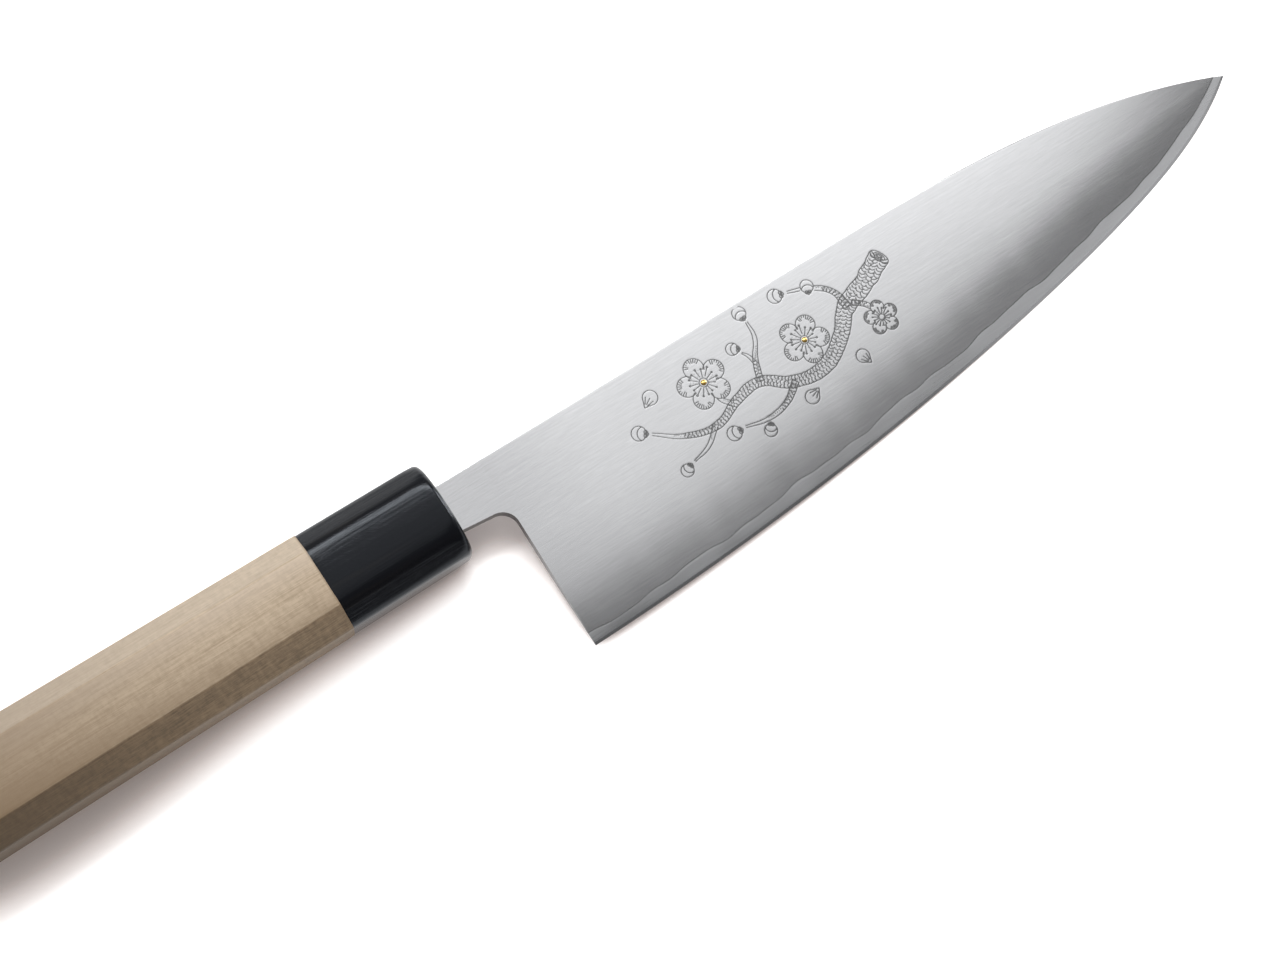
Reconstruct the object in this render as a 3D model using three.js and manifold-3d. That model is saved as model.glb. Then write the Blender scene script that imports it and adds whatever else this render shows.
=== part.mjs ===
// Gyuto kitchen knife: a three-layer blade with a hidden tang, a horn ferrule and an octagonal wooden handle.
// Millimetres. Drawn with x from the ferrule's front face to the tip, y to the spine and z out of the right face.
// The finished knife keeps these axes, with its origin under the middle of its box.
import * as THREE from "three";
import { mergeVertices } from "three/addons/utils/BufferGeometryUtils.js";
import Module from "manifold-3d";

const wasm = await Module();
wasm.setup();

// Blade outline
const BLADE_LENGTH = 210; // heel to tip
const HEEL_X = 11.8; // gap between the ferrule and the heel
const SPINE_Y = 5.75; // straight spine above the handle's centre line
const HEEL_DEPTH = 43.5; // cutting edge at the heel, below the handle's centre line
const BELLY_RISE = 26; // square-law rise of the edge towards the tip
const TIP_RISE = 7.5; // extra rise that turns the edge up at the point
const TIP_RISE_POWER = 12;
const SPINE_BEND_X = 70; // where the spine starts to fall
const SPINE_FALL_POWER = 4;
const TIP_X = HEEL_X + BLADE_LENGTH;
const TIP_Y = -HEEL_DEPTH + BELLY_RISE + TIP_RISE;

// Blade thickness and lamination
const HEEL_THICKNESS = 3.66; // at the spine above the heel
const CORE_THICKNESS = 0.8; // hard steel welded between the two claddings
const GROUND_SHARE = 0.55; // part of the cladding's height that is ground convex
const SPINE_EASE = 0.35; // bevel on the spine's corners
const CUTTING_BEVEL_WIDTH = 0.7;
const CUTTING_BEVEL_HALF = 0.13; // half thickness at the top of the cutting bevel
const POINT_HALF = 0.12; // half thickness of the bare core at the very point
const CORE_SHOW = 2.7; // bare core above the edge at heel and tip
const CORE_SHOW_SWELL = 1.1; // and how much wider that strip is halfway
const FORGE_WAVES = [
  { height: 0.3, length: 33, shift: 0.4 },
  { height: 0.2, length: 14.5, shift: 2.1 },
  { height: 0.1, length: 8.3, shift: 4.4 },
];

// Neck and tang
const NECK_DEPTH = 5.95; // underside of the neck at the ferrule
const NECK_FALL = 0.1; // slope of that underside towards the heel
const NECK_FILLET = 4.2;
const HEEL_FACE_X = 12.4; // top of the heel's back face
const HEEL_LEAN = 0.8; // how far that face leans back at the edge
const SHOULDER_X = -4;
const SHOULDER_RUN = 4; // slope from the neck's height to the tang's
const TANG_HEIGHT = 8.2;
const TANG_END_X = -88;
const TANG_END_HEIGHT = 4.6;
const TANG_END_THICKNESS = 2.4;

// Octagonal handle
const HANDLE_LENGTH = 138;
const FERRULE_LENGTH = 31.2;
const FRONT_HEIGHT = 24.05;
const FRONT_WIDTH = 19.3;
const BUTT_HEIGHT = 26.2;
const BUTT_WIDTH = 22;
const FACET_RISE = 5.6; // slanted facets: extent across the height
const FACET_RUN = 5.0; // and across the width
const RIDGE_EASE = 0.45; // softened ridge between two facets
const FERRULE_NOSE = 2.0; // rounding of the ferrule's front edge
const BUTT_CHAMFER = 1.4;

// Fit of the tang in the handle
const TENON_DIAMETER = 14;
const TENON_FRONT_X = -8.6;
const MOUTH_HEIGHT = 13.6;
const MOUTH_WIDTH = 5.8;
const SEAL_FRONT_X = -0.4;
const SEAL_DEPTH = 3.2;
const TANG_GAP = 0.3; // around the neck and the tang, which taper
const BEDDING_WALL = 0.8;
const MORTISE_END_X = -90;

// Inlaid dots on the right face
const DOTS = [
  { name: "gold_inlay_1", x: 66, y: -6.5 },
  { name: "gold_inlay_2", x: 92, y: -10.5 },
];
const DOT_DIAMETER = 1.4;
const DOT_DEPTH = 0.7;
const DOT_CROWN = 0.25;

// Fineness of the surfaces
const STATION_STEP = 2.5;
const GROUND_ROWS = 8;
const ROUND_SIDES = 40;

const coreHalf = CORE_THICKNESS / 2;

function material(color, roughness, metalness) {
  return new THREE.MeshStandardMaterial({ color, roughness, metalness });
}
const finishes = {
  cladding: material(0xc9cbce, 0.32, 1),
  core: material(0x9b9c9c, 0.38, 1),
  horn: material(0x1b1c1f, 0.18, 0),
  wood: material(0xb9a78c, 0.62, 0),
  resin: material(0x3a332b, 0.5, 0),
  wax: material(0x16120f, 0.4, 0),
  gold: material(0xcfa24a, 0.25, 1),
};

// A closed geometry as a solid for joining and cutting, and back again.
function solidOf(geometry) {
  const bare = geometry.clone();
  bare.deleteAttribute("normal");
  bare.deleteAttribute("uv");
  const merged = mergeVertices(bare);
  return new wasm.Manifold(
    new wasm.Mesh({
      numProp: 3,
      vertProperties: merged.attributes.position.array,
      triVerts: new Uint32Array(merged.index.array),
    }),
  );
}

function geometryOf(solid) {
  const mesh = solid.getMesh();
  const geometry = new THREE.BufferGeometry();
  geometry.setAttribute("position", new THREE.BufferAttribute(mesh.vertProperties, 3));
  geometry.setIndex(new THREE.BufferAttribute(mesh.triVerts, 1));
  geometry.computeVertexNormals();
  return geometry;
}

// A skin over rings of points, each ring anticlockwise seen from +x, closed by a fan at both ends.
function loft(rings) {
  const size = rings[0].length;
  const last = (rings.length - 1) * size;
  const index = [];
  for (let i = 0; i < rings.length - 1; i++) {
    for (let j = 0; j < size; j++) {
      const a = i * size + j;
      const b = i * size + ((j + 1) % size);
      index.push(a, b, b + size, a, b + size, a + size);
    }
  }
  for (let j = 1; j < size - 1; j++) {
    index.push(0, j + 1, j, last, last + j, last + j + 1);
  }
  const geometry = new THREE.BufferGeometry();
  geometry.setAttribute("position", new THREE.Float32BufferAttribute(rings.flat(2), 3));
  geometry.setIndex(index);
  return dropCollapsed(mergeVertices(geometry));
}

// Rings that shrink to a point leave triangles with a repeated corner: these go.
function dropCollapsed(geometry) {
  const kept = [];
  const source = geometry.index.array;
  for (let i = 0; i < source.length; i += 3) {
    const [a, b, c] = source.slice(i, i + 3);
    if (a !== b && b !== c && c !== a) kept.push(a, b, c);
  }
  geometry.setIndex(kept);
  return geometry;
}

// How far along the blade x lies: 0 at the heel, 1 at the tip.
function bladeShare(x) {
  return Math.max(0, (x - HEEL_X) / BLADE_LENGTH);
}

function spineY(x) {
  const share = Math.max(0, (x - SPINE_BEND_X) / (TIP_X - SPINE_BEND_X));
  return SPINE_Y - (SPINE_Y - TIP_Y) * share ** SPINE_FALL_POWER;
}

function edgeY(x) {
  const share = bladeShare(x);
  return -HEEL_DEPTH + BELLY_RISE * share ** 2 + TIP_RISE * share ** TIP_RISE_POWER;
}

// The line where the cladding ends and the core comes out wavers as forging leaves it.
function claddingLineY(x) {
  const share = bladeShare(x);
  const fade = 1 - share ** 6;
  let show = CORE_SHOW + CORE_SHOW_SWELL * Math.sin(Math.PI * share);
  for (const wave of FORGE_WAVES) {
    show += fade * wave.height * Math.sin((2 * Math.PI * x) / wave.length + wave.shift);
  }
  return edgeY(x) + show;
}

// The cladding runs out where its lower line meets the spine, just short of the tip.
function claddingEnd() {
  let inside = SPINE_BEND_X;
  let outside = TIP_X;
  for (let i = 0; i < 50; i++) {
    const middle = (inside + outside) / 2;
    if (claddingLineY(middle) < spineY(middle)) inside = middle;
    else outside = middle;
  }
  return (inside + outside) / 2;
}
const claddingEndX = claddingEnd();

// Half the blade's thickness on its flats: an even taper from the heel to the cladding's end, and down the tang.
function flatHalf(x) {
  const perMm = (HEEL_THICKNESS / 2 - coreHalf) / (claddingEndX - HEEL_X);
  const ahead = HEEL_THICKNESS / 2 - perMm * (Math.max(x, SHOULDER_X) - HEEL_X);
  const behind = Math.max(0, (SHOULDER_X - x) / (SHOULDER_X - TANG_END_X));
  return ahead + (TANG_END_THICKNESS / 2 - ahead) * behind;
}

function stations() {
  const list = [TANG_END_X, -60, -30, SHOULDER_X];
  for (let x = 0; x < claddingEndX - STATION_STEP / 2; x += STATION_STEP) list.push(x);
  return [...list, claddingEndX];
}

// One cladding layer on the right: flat from the spine down, then ground convex to its feather edge.
function claddingRing(x) {
  const top = spineY(x);
  const bottom = Math.min(claddingLineY(x), top);
  const half = Math.max(flatHalf(x), coreHalf);
  const ease = Math.min(SPINE_EASE, (half - coreHalf) / 2);
  const ground = bottom + GROUND_SHARE * (top - bottom);
  const ring = [
    [x, top, coreHalf],
    [x, top, half - ease],
    [x, Math.max(top - ease, ground), half],
    [x, ground, half],
  ];
  for (let row = 1; row <= GROUND_ROWS; row++) {
    const share = row / GROUND_ROWS;
    const y = ground + (bottom - ground) * share;
    ring.push([x, y, half - (half - coreHalf) * share ** 2]);
  }
  return ring;
}

// The core: parallel faces under the cladding, then tapering bare to the cutting bevel and the edge.
function coreRing(x) {
  const top = spineY(x);
  const edge = edgeY(x);
  const line = Math.min(claddingLineY(x), top);
  const bare = Math.max(0, (x - claddingEndX) / (TIP_X - claddingEndX));
  const half = coreHalf + (POINT_HALF - coreHalf) * bare;
  const bevelY = Math.min(edge + CUTTING_BEVEL_WIDTH, line);
  const bevelHalf = Math.min(CUTTING_BEVEL_HALF, half);
  return [
    [x, top, half],
    [x, line, half],
    [x, bevelY, bevelHalf],
    [x, edge, 0],
    [x, bevelY, -bevelHalf],
    [x, line, -half],
    [x, top, -half],
  ];
}

function neckY(x) {
  return -NECK_DEPTH - NECK_FALL * x;
}

// Side view of tang, neck and heel. It trims the lofted layers, so past the heel it is larger than the blade.
function sideProfile() {
  const far = 2 * BLADE_LENGTH;
  const shoulderEnd = SHOULDER_X - SHOULDER_RUN;
  const filletX = HEEL_FACE_X - NECK_FILLET;
  const shape = new THREE.Shape();
  shape.moveTo(TANG_END_X, -TANG_END_HEIGHT / 2);
  shape.lineTo(shoulderEnd, -TANG_HEIGHT / 2);
  shape.lineTo(SHOULDER_X, neckY(SHOULDER_X));
  shape.lineTo(filletX, neckY(filletX));
  shape.absarc(filletX, neckY(filletX) - NECK_FILLET, NECK_FILLET, Math.PI / 2, 0, true);
  shape.lineTo(HEEL_FACE_X - HEEL_LEAN, -HEEL_DEPTH);
  shape.lineTo(HEEL_FACE_X - HEEL_LEAN, -far);
  shape.lineTo(far, -far);
  shape.lineTo(far, far);
  shape.lineTo(SHOULDER_X, far);
  shape.lineTo(SHOULDER_X, SPINE_Y);
  shape.lineTo(shoulderEnd, TANG_HEIGHT / 2);
  shape.lineTo(TANG_END_X, TANG_END_HEIGHT / 2);
  const depth = 4 * HEEL_THICKNESS;
  const body = new THREE.ExtrudeGeometry(shape, { depth, bevelEnabled: false, curveSegments: 10 });
  return solidOf(body.translate(0, 0, -depth / 2));
}
const profile = sideProfile();

// A pin along z for one dot: a straight shank below its seat and a low dome above it.
function pinGeometry(crown) {
  const radius = DOT_DIAMETER / 2;
  const outline = [new THREE.Vector2(0, -DOT_DEPTH), new THREE.Vector2(radius, -DOT_DEPTH)];
  const steps = 5;
  for (let i = 0; i < steps; i++) {
    const angle = (i / steps) * (Math.PI / 2);
    outline.push(new THREE.Vector2(radius * Math.cos(angle), crown * Math.sin(angle)));
  }
  outline.push(new THREE.Vector2(0, crown));
  return new THREE.LatheGeometry(outline, 20).rotateX(Math.PI / 2);
}

// A straight-sided bit of the same diameter that drills a dot's hole.
function drillGeometry() {
  const radius = DOT_DIAMETER / 2;
  const outline = [
    new THREE.Vector2(0, -DOT_DEPTH),
    new THREE.Vector2(radius, -DOT_DEPTH),
    new THREE.Vector2(radius, HEEL_THICKNESS),
    new THREE.Vector2(0, HEEL_THICKNESS),
  ];
  return new THREE.LatheGeometry(outline, 20).rotateX(Math.PI / 2);
}

// Handle section: an octagon with softened ridges, drawn in by inset on every side.
function octagonRing(x, inset) {
  const share = -x / HANDLE_LENGTH;
  const height = (FRONT_HEIGHT + (BUTT_HEIGHT - FRONT_HEIGHT) * share) / 2 - inset;
  const width = (FRONT_WIDTH + (BUTT_WIDTH - FRONT_WIDTH) * share) / 2 - inset;
  const flatY = height - FACET_RISE;
  const flatZ = width - FACET_RUN;
  const corners = [
    [height, flatZ],
    [flatY, width],
    [-flatY, width],
    [-height, flatZ],
    [-height, -flatZ],
    [-flatY, -width],
    [flatY, -width],
    [height, -flatZ],
  ].map(([y, z]) => new THREE.Vector2(y, z));
  const ring = [];
  corners.forEach((corner, i) => {
    const before = corners[(i + 7) % 8].clone().sub(corner).setLength(RIDGE_EASE).add(corner);
    const after = corners[(i + 1) % 8].clone().sub(corner).setLength(RIDGE_EASE).add(corner);
    const middle = before.clone().add(after).lerp(corner.clone().multiplyScalar(2), 0.5).divideScalar(2);
    for (const point of [before, middle, after]) ring.push([x, point.x, point.y]);
  });
  return ring;
}

// A bar whose rectangular section changes evenly from its back end to its front end along x.
function taperedBar(back, front) {
  const ring = ({ x, bottom, top, width }) => [
    [x, bottom, -width / 2],
    [x, top, -width / 2],
    [x, top, width / 2],
    [x, bottom, width / 2],
  ];
  return solidOf(loft([ring(back), ring(front)]));
}

function roundBar(diameter, backX, frontX) {
  const bar = new THREE.CylinderGeometry(diameter / 2, diameter / 2, frontX - backX, ROUND_SIDES);
  return solidOf(bar.rotateZ(Math.PI / 2).translate((backX + frontX) / 2, 0, 0));
}

// The room that the tang takes up between two places along it, grown by a margin on every side.
function tangRoom(backX, frontX, margin) {
  const section = (x) => {
    const share = (x - SHOULDER_X) / (TANG_END_X - SHOULDER_X);
    const top = (TANG_HEIGHT + (TANG_END_HEIGHT - TANG_HEIGHT) * share) / 2 + margin;
    return { x, bottom: -top, top, width: 2 * flatHalf(x) + 2 * margin };
  };
  return taperedBar(section(backX), section(frontX));
}

function coreSteel() {
  const rings = [...stations(), TIP_X].map(coreRing);
  return geometryOf(solidOf(loft(rings)).intersect(profile));
}

function rightCladding() {
  let solid = solidOf(loft(stations().map(claddingRing))).intersect(profile);
  for (const dot of DOTS) {
    const bit = drillGeometry().translate(dot.x, dot.y, flatHalf(dot.x));
    solid = solid.subtract(solidOf(bit));
  }
  return geometryOf(solid);
}

function leftCladding() {
  const mirrored = stations().map((x) => claddingRing(x).map(([, y, z]) => [x, y, -z]).reverse());
  return geometryOf(solidOf(loft(mirrored)).intersect(profile));
}

// The horn ferrule: octagonal outside with a rounded nose, bored for the tenon and slotted for the neck.
function hornFerrule() {
  const rings = [octagonRing(-FERRULE_LENGTH, 0), octagonRing(-FERRULE_NOSE, 0)];
  const steps = 5;
  for (let i = 1; i <= steps; i++) {
    const angle = (i / steps) * (Math.PI / 2);
    const x = -FERRULE_NOSE * (1 - Math.sin(angle));
    rings.push(octagonRing(x, FERRULE_NOSE * (1 - Math.cos(angle))));
  }
  const bore = roundBar(TENON_DIAMETER, -FERRULE_LENGTH - 5, TENON_FRONT_X);
  const opening = { bottom: -MOUTH_HEIGHT / 2, top: MOUTH_HEIGHT / 2, width: MOUTH_WIDTH };
  const mouth = taperedBar({ x: TENON_FRONT_X - 1, ...opening }, { x: 1, ...opening });
  return geometryOf(solidOf(loft(rings)).subtract(bore).subtract(mouth));
}

// Room for the tang and its bedding in the wood, run out past the tenon's front.
function mortise() {
  return tangRoom(MORTISE_END_X, TENON_FRONT_X + 1, BEDDING_WALL + TANG_GAP);
}

// The wooden handle: octagonal, with a tenon for the ferrule and a mortise burnt out for the tang.
function handleBody() {
  const rings = [
    octagonRing(-HANDLE_LENGTH, BUTT_CHAMFER),
    octagonRing(-HANDLE_LENGTH + 0.35 * BUTT_CHAMFER, 0.35 * BUTT_CHAMFER),
    octagonRing(-HANDLE_LENGTH + BUTT_CHAMFER, 0),
    octagonRing(-FERRULE_LENGTH, 0),
  ];
  const tenon = roundBar(TENON_DIAMETER, -FERRULE_LENGTH - 5, TENON_FRONT_X);
  return geometryOf(solidOf(loft(rings)).add(tenon).subtract(mortise()));
}

// Resin that beds the tang in its mortise: a thin cup open at the front.
function tangBedding() {
  const hollow = tangRoom(TANG_END_X - TANG_GAP, TENON_FRONT_X + 2, TANG_GAP);
  const ahead = roundBar(2 * TENON_DIAMETER, TENON_FRONT_X, TENON_FRONT_X + 5);
  return geometryOf(mortise().subtract(hollow).subtract(ahead));
}

// Wax collar that closes the ferrule's mouth around the neck.
function mouthSeal() {
  const backX = SEAL_FRONT_X - SEAL_DEPTH;
  const outside = { bottom: -MOUTH_HEIGHT / 2, top: MOUTH_HEIGHT / 2, width: MOUTH_WIDTH };
  const neckAt = (x) => ({
    x,
    bottom: neckY(x) - TANG_GAP,
    top: SPINE_Y + TANG_GAP,
    width: 2 * flatHalf(x) + 2 * TANG_GAP,
  });
  const collar = taperedBar({ x: backX, ...outside }, { x: SEAL_FRONT_X, ...outside });
  return geometryOf(collar.subtract(taperedBar(neckAt(backX - 0.3), neckAt(SEAL_FRONT_X + 0.3))));
}

function piece(name, geometry, finish) {
  const mesh = new THREE.Mesh(geometry, finish);
  mesh.name = name;
  return mesh;
}

const blade = new THREE.Group();
blade.add(
  piece("core_steel", coreSteel(), finishes.core),
  piece("right_cladding", rightCladding(), finishes.cladding),
  piece("left_cladding", leftCladding(), finishes.cladding),
);
for (const dot of DOTS) {
  const pin = piece(dot.name, pinGeometry(DOT_CROWN), finishes.gold);
  pin.position.set(dot.x, dot.y, flatHalf(dot.x));
  blade.add(pin);
}

const handle = new THREE.Group();
handle.add(
  piece("horn_ferrule", hornFerrule(), finishes.horn),
  piece("handle_body", handleBody(), finishes.wood),
  piece("tang_bedding", tangBedding(), finishes.resin),
  piece("mouth_seal", mouthSeal(), finishes.wax),
);

const knife = new THREE.Group();
knife.add(blade, handle);
const box = new THREE.Box3().setFromObject(knife);
const middle = box.getCenter(new THREE.Vector3());
knife.position.set(-middle.x, -middle.y, -box.min.z);

export default knife;
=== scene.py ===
"""Looks of a gyuto kitchen knife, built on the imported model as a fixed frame."""
import math

import bmesh
import bpy
import numpy as np
from mathutils import Matrix, Vector


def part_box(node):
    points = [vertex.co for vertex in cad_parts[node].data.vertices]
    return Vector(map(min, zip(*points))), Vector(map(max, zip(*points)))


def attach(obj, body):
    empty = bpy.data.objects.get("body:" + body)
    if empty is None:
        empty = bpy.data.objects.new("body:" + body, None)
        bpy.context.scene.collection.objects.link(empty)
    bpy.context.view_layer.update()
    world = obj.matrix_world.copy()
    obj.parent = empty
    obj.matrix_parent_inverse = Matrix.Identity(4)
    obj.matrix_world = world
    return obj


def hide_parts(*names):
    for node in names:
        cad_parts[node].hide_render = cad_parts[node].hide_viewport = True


bl_info = {
    "name": "Gyuto knife looks",
    "version": (1, 0, 0),
    "blender": (4, 5, 0),
    "location": "3D View > Sidebar > Knife",
    "description": "Fine meshes, finishes and studio for the packed gyuto knife",
    "category": "Object",
}

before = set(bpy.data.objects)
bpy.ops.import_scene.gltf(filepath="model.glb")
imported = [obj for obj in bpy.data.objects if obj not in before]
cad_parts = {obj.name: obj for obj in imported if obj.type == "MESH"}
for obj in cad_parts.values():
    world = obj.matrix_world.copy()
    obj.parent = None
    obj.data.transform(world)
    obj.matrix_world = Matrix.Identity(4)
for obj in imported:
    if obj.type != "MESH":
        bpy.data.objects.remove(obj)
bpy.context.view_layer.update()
MM = 0.001

# Blade outline in millimetres
# x runs from the ferrule's front face to the tip, y to the spine and z out of the right face
BLADE_LENGTH = 210.0
HEEL_X = 11.8
TIP_X = HEEL_X + BLADE_LENGTH
TIP_Y = -10.0
SPINE_Y = 5.75
SPINE_BEND_X = 70.0
SPINE_FALL_POWER = 4
HEEL_DEPTH = 43.5
BELLY_RISE = 26.0
TIP_RISE = 7.5
TIP_RISE_POWER = 12

# Blade section
HEEL_HALF = 1.83
HALF_TAPER = 0.006895
CORE_HALF = 0.4
POINT_HALF = 0.12
GROUND_SHARE = 0.55
FLAT_CROWN = 0.05
NECK_CROWN_Y = -15.0
NECK_CROWN_SPAN = 20.0
LEAST_SPAN = 1e-6
SPINE_EASE = 0.3
SPINE_EASE_ROOM = 0.8
CUTTING_BEVEL_WIDTH = 0.7
CUTTING_BEVEL_HALF = 0.13
CUTTING_BEVEL_ROOM = 0.4
CORE_SHOW = 2.7
CORE_SHOW_SWELL = 1.1
CORE_SWELL_POWER = 0.92
FORGE_WAVES = ((0.3, 33.0, 0.4), (0.2, 14.5, 2.1), (0.1, 8.3, 4.4))
WAVE_FADE_POWER = 6

# Neck, heel and tang
NECK_DEPTH = 5.95
NECK_FALL = 0.1
NECK_FILLET = 4.2
HEEL_FACE_X = 12.4
HEEL_LEAN = 0.8
HEEL_MARGIN = 1.0
SHOULDER_X = -4.0
SHOULDER_RUN = 4.0
TANG_HEIGHT = 8.2
TANG_END_X = -88.0
TANG_END_HEIGHT = 4.6
TANG_END_HALF = 1.2

# Handle
HANDLE_LENGTH = 138.0
FERRULE_LENGTH = 31.2
TENON_DIAMETER = 14.0
TENON_FRONT_X = -8.6
MOUTH_HEIGHT = 13.6
MOUTH_WIDTH = 5.8
MORTISE_END_X = -90.0
MORTISE_WALL = 1.1
BORE_OVERRUN = 5.0
MOUTH_OVERRUN = 1.0

# Tenon, and the bore for it: places along x, height, and no width since it is round
TENON = (-FERRULE_LENGTH - BORE_OVERRUN, TENON_FRONT_X, TENON_DIAMETER, None)

# Engraved field on the right face
FIELD_X = (44.6, 121.0)
FIELD_Y = (-27.0, 4.4)
FIELD_MIDDLE_X = 80.0
FACE_MARGIN = 0.05

# Fineness of the blade's grids: steps and runs in millimetres, merging distances in metres
FIELD_STEP = 0.19
COARSE_STEP = 1.8
TANG_STEP = 6.0
NECK_STEP = 1.0
FILLET_COLUMNS = 15
SPINE_STEP = 0.6
SPINE_EASE_ROWS = 5
TIP_RUN = 30.0
TIP_STEP = 0.7
END_RUN = 4.0
END_STEP = 0.25
POINT_STEP = 0.12
CORE_ROWS = 7
WELD_ROWS = (0.0, 0.12, 0.3, 0.6, 1.0)
LEAN_RUN = 8.0
SEARCH_RUN = 20.0
SEARCH_HALVINGS = 60
MERGE_DISTANCE = 2e-7
FLAT_DISTANCE = 2e-8

# Fineness and inputs of the octagons, and fineness of the studs
OCTAGON_SIDES = 256
FERRULE_STATIONS = 72
HANDLE_STATIONS = 110
STATION_POWER = 1.7
BORE_SIDES = 64
LEAST_REACH = 0.0001
OCTAGON_INPUTS = ("Back_x", "Front_x", "Back_height", "Front_height", "Back_width", "Front_width",
                  "Facet_rise", "Facet_run", "Ridge_ease", "Nose", "Corner_run", "Corner_ease", "Chamfer",
                  "Facet_crown", "Axis_y", "Axis_z", "Taper_back_x", "Taper_front_x")
STUD_FINENESS = {"Vertices": 40, "Side Segments": 3, "Fill Segments": 8}

# Angles in degrees past which a mesh has a sharp edge
BLADE_SHARP = 28.0
OCTAGON_SHARP = 32.0
STUD_SHARP = 50.0

# Places of blossoms, buds and loose petals: kind, x, y, radius, turn in degrees
BLOSSOM = 0
BUD = 1
LOOSE_PETAL = 2
SAWN_END = 3
SPRIG_SPOTS = (
    (BLOSSOM, 66.0, -6.5, 6.4, 20.0),
    (BLOSSOM, 92.0, -10.5, 6.1, 52.0),
    (BLOSSOM, 111.0, -15.6, 4.3, 8.0),
    (BUD, 93.4, 1.6, 2.2, 165.0),
    (BUD, 99.6, -1.2, 2.0, 70.0),
    (BUD, 82.6, 1.6, 2.1, 95.0),
    (BUD, 77.2, -4.0, 1.9, 150.0),
    (BUD, 66.6, -20.4, 2.2, 175.0),
    (BUD, 73.6, -23.2, 1.9, 235.0),
    (BUD, 52.2, -21.2, 1.9, 205.0),
    (BUD, 47.6, -9.4, 2.2, 145.0),
    (LOOSE_PETAL, 53.0, -3.2, 2.3, 30.0),
    (LOOSE_PETAL, 86.2, -22.6, 2.2, 200.0),
    (LOOSE_PETAL, 101.8, -21.4, 2.1, 110.0),
    (SAWN_END, 119.2, -3.1, 2.45, 26.0),
)

# Strokes of the pattern, for a blossom or a bud of radius 1
PETALS = 5
PETAL_RADIUS = 0.385
PETAL_RING = 0.615
STAMENS = 15
BUD_RADIUS = 0.8

# Strokes and punch marks along the stems: steps and least half widths in metres, turns in radians,
# the half angle in degrees, and shifts and sizes as shares of the half width
KNOT_SCALE = 260.0
KNOT_DETAIL = 3.0
SIDE_STEP = 0.0003
BARK_LANES = ((-0.6, 1.0), (0.0, 1.09), (0.6, 0.94))
BARK_LEAST = 0.0006
BARK_SHIFT = (-0.12, 0.12)
BARK_TURN = (-0.25, 0.25)
BARK_SIZE = (0.3, 0.44)
BARK_HALF_ANGLE = 58.0
PUNCH_LANES = 4
PUNCH_LEAST = 0.0005
PUNCH_SHIFT = (-0.9, 0.1)
PUNCH_PACE = 0.07
PUNCH_DENSITY = 2.4e6

# Seeds of the random numbers; the last three are those of the first lane
RING_SEED = 1
VEIN_SEED = 3
PUNCH_SEED = 4
STAMEN_SEED = 5
BARK_TURN_SEED = 10
BARK_SIZE_SEED = 20
PUNCH_SHIFT_SEED = 30

# How far strokes and punch marks of the stems keep from the flowers, in metres
STROKE_CLEARANCE = 0.00012
DOT_CLEARANCE = 0.0002

# Groove of a stroke, and the distance in millimetres that stands for no stroke or punch mark nearby
GROOVE_POWER = 0.7
FAR_AWAY = 100.0

# Branch and twigs: points x, y, half width
SPRIG_STEMS = (
    ((119.0, -3.2, 2.5), (112.0, -6.6, 2.3), (105.0, -9.2, 2.1), (100.0, -14.2, 1.9), (92.0, -18.4, 1.7),
     (84.0, -17.4, 1.45), (77.0, -13.2, 1.25), (70.5, -14.0, 1.1), (63.0, -16.6, 0.9), (55.0, -14.6, 0.6),
     (49.0, -10.4, 0.3)),
    ((84.5, -17.6, 0.8), (80.0, -20.6, 0.65), (74.0, -21.6, 0.5), (68.4, -20.4, 0.25)),
    ((105.5, -9.2, 0.95), (104.6, -4.4, 0.7), (100.4, -0.8, 0.5), (95.2, 1.2, 0.25)),
    ((77.5, -13.2, 0.8), (79.4, -8.4, 0.6), (82.4, -3.6, 0.45), (82.8, 0.2, 0.25)),
    ((79.0, -9.2, 0.45), (78.4, -6.6, 0.35), (77.6, -5.4, 0.2)),
    ((62.5, -16.5, 0.6), (58.4, -19.6, 0.45), (53.8, -20.8, 0.2)),
    ((107.0, -9.0, 0.7), (109.6, -11.2, 0.6), (110.6, -13.4, 0.5)),
    ((69.0, -14.2, 0.6), (67.4, -12.4, 0.5), (66.6, -10.4, 0.4)),
)

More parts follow.
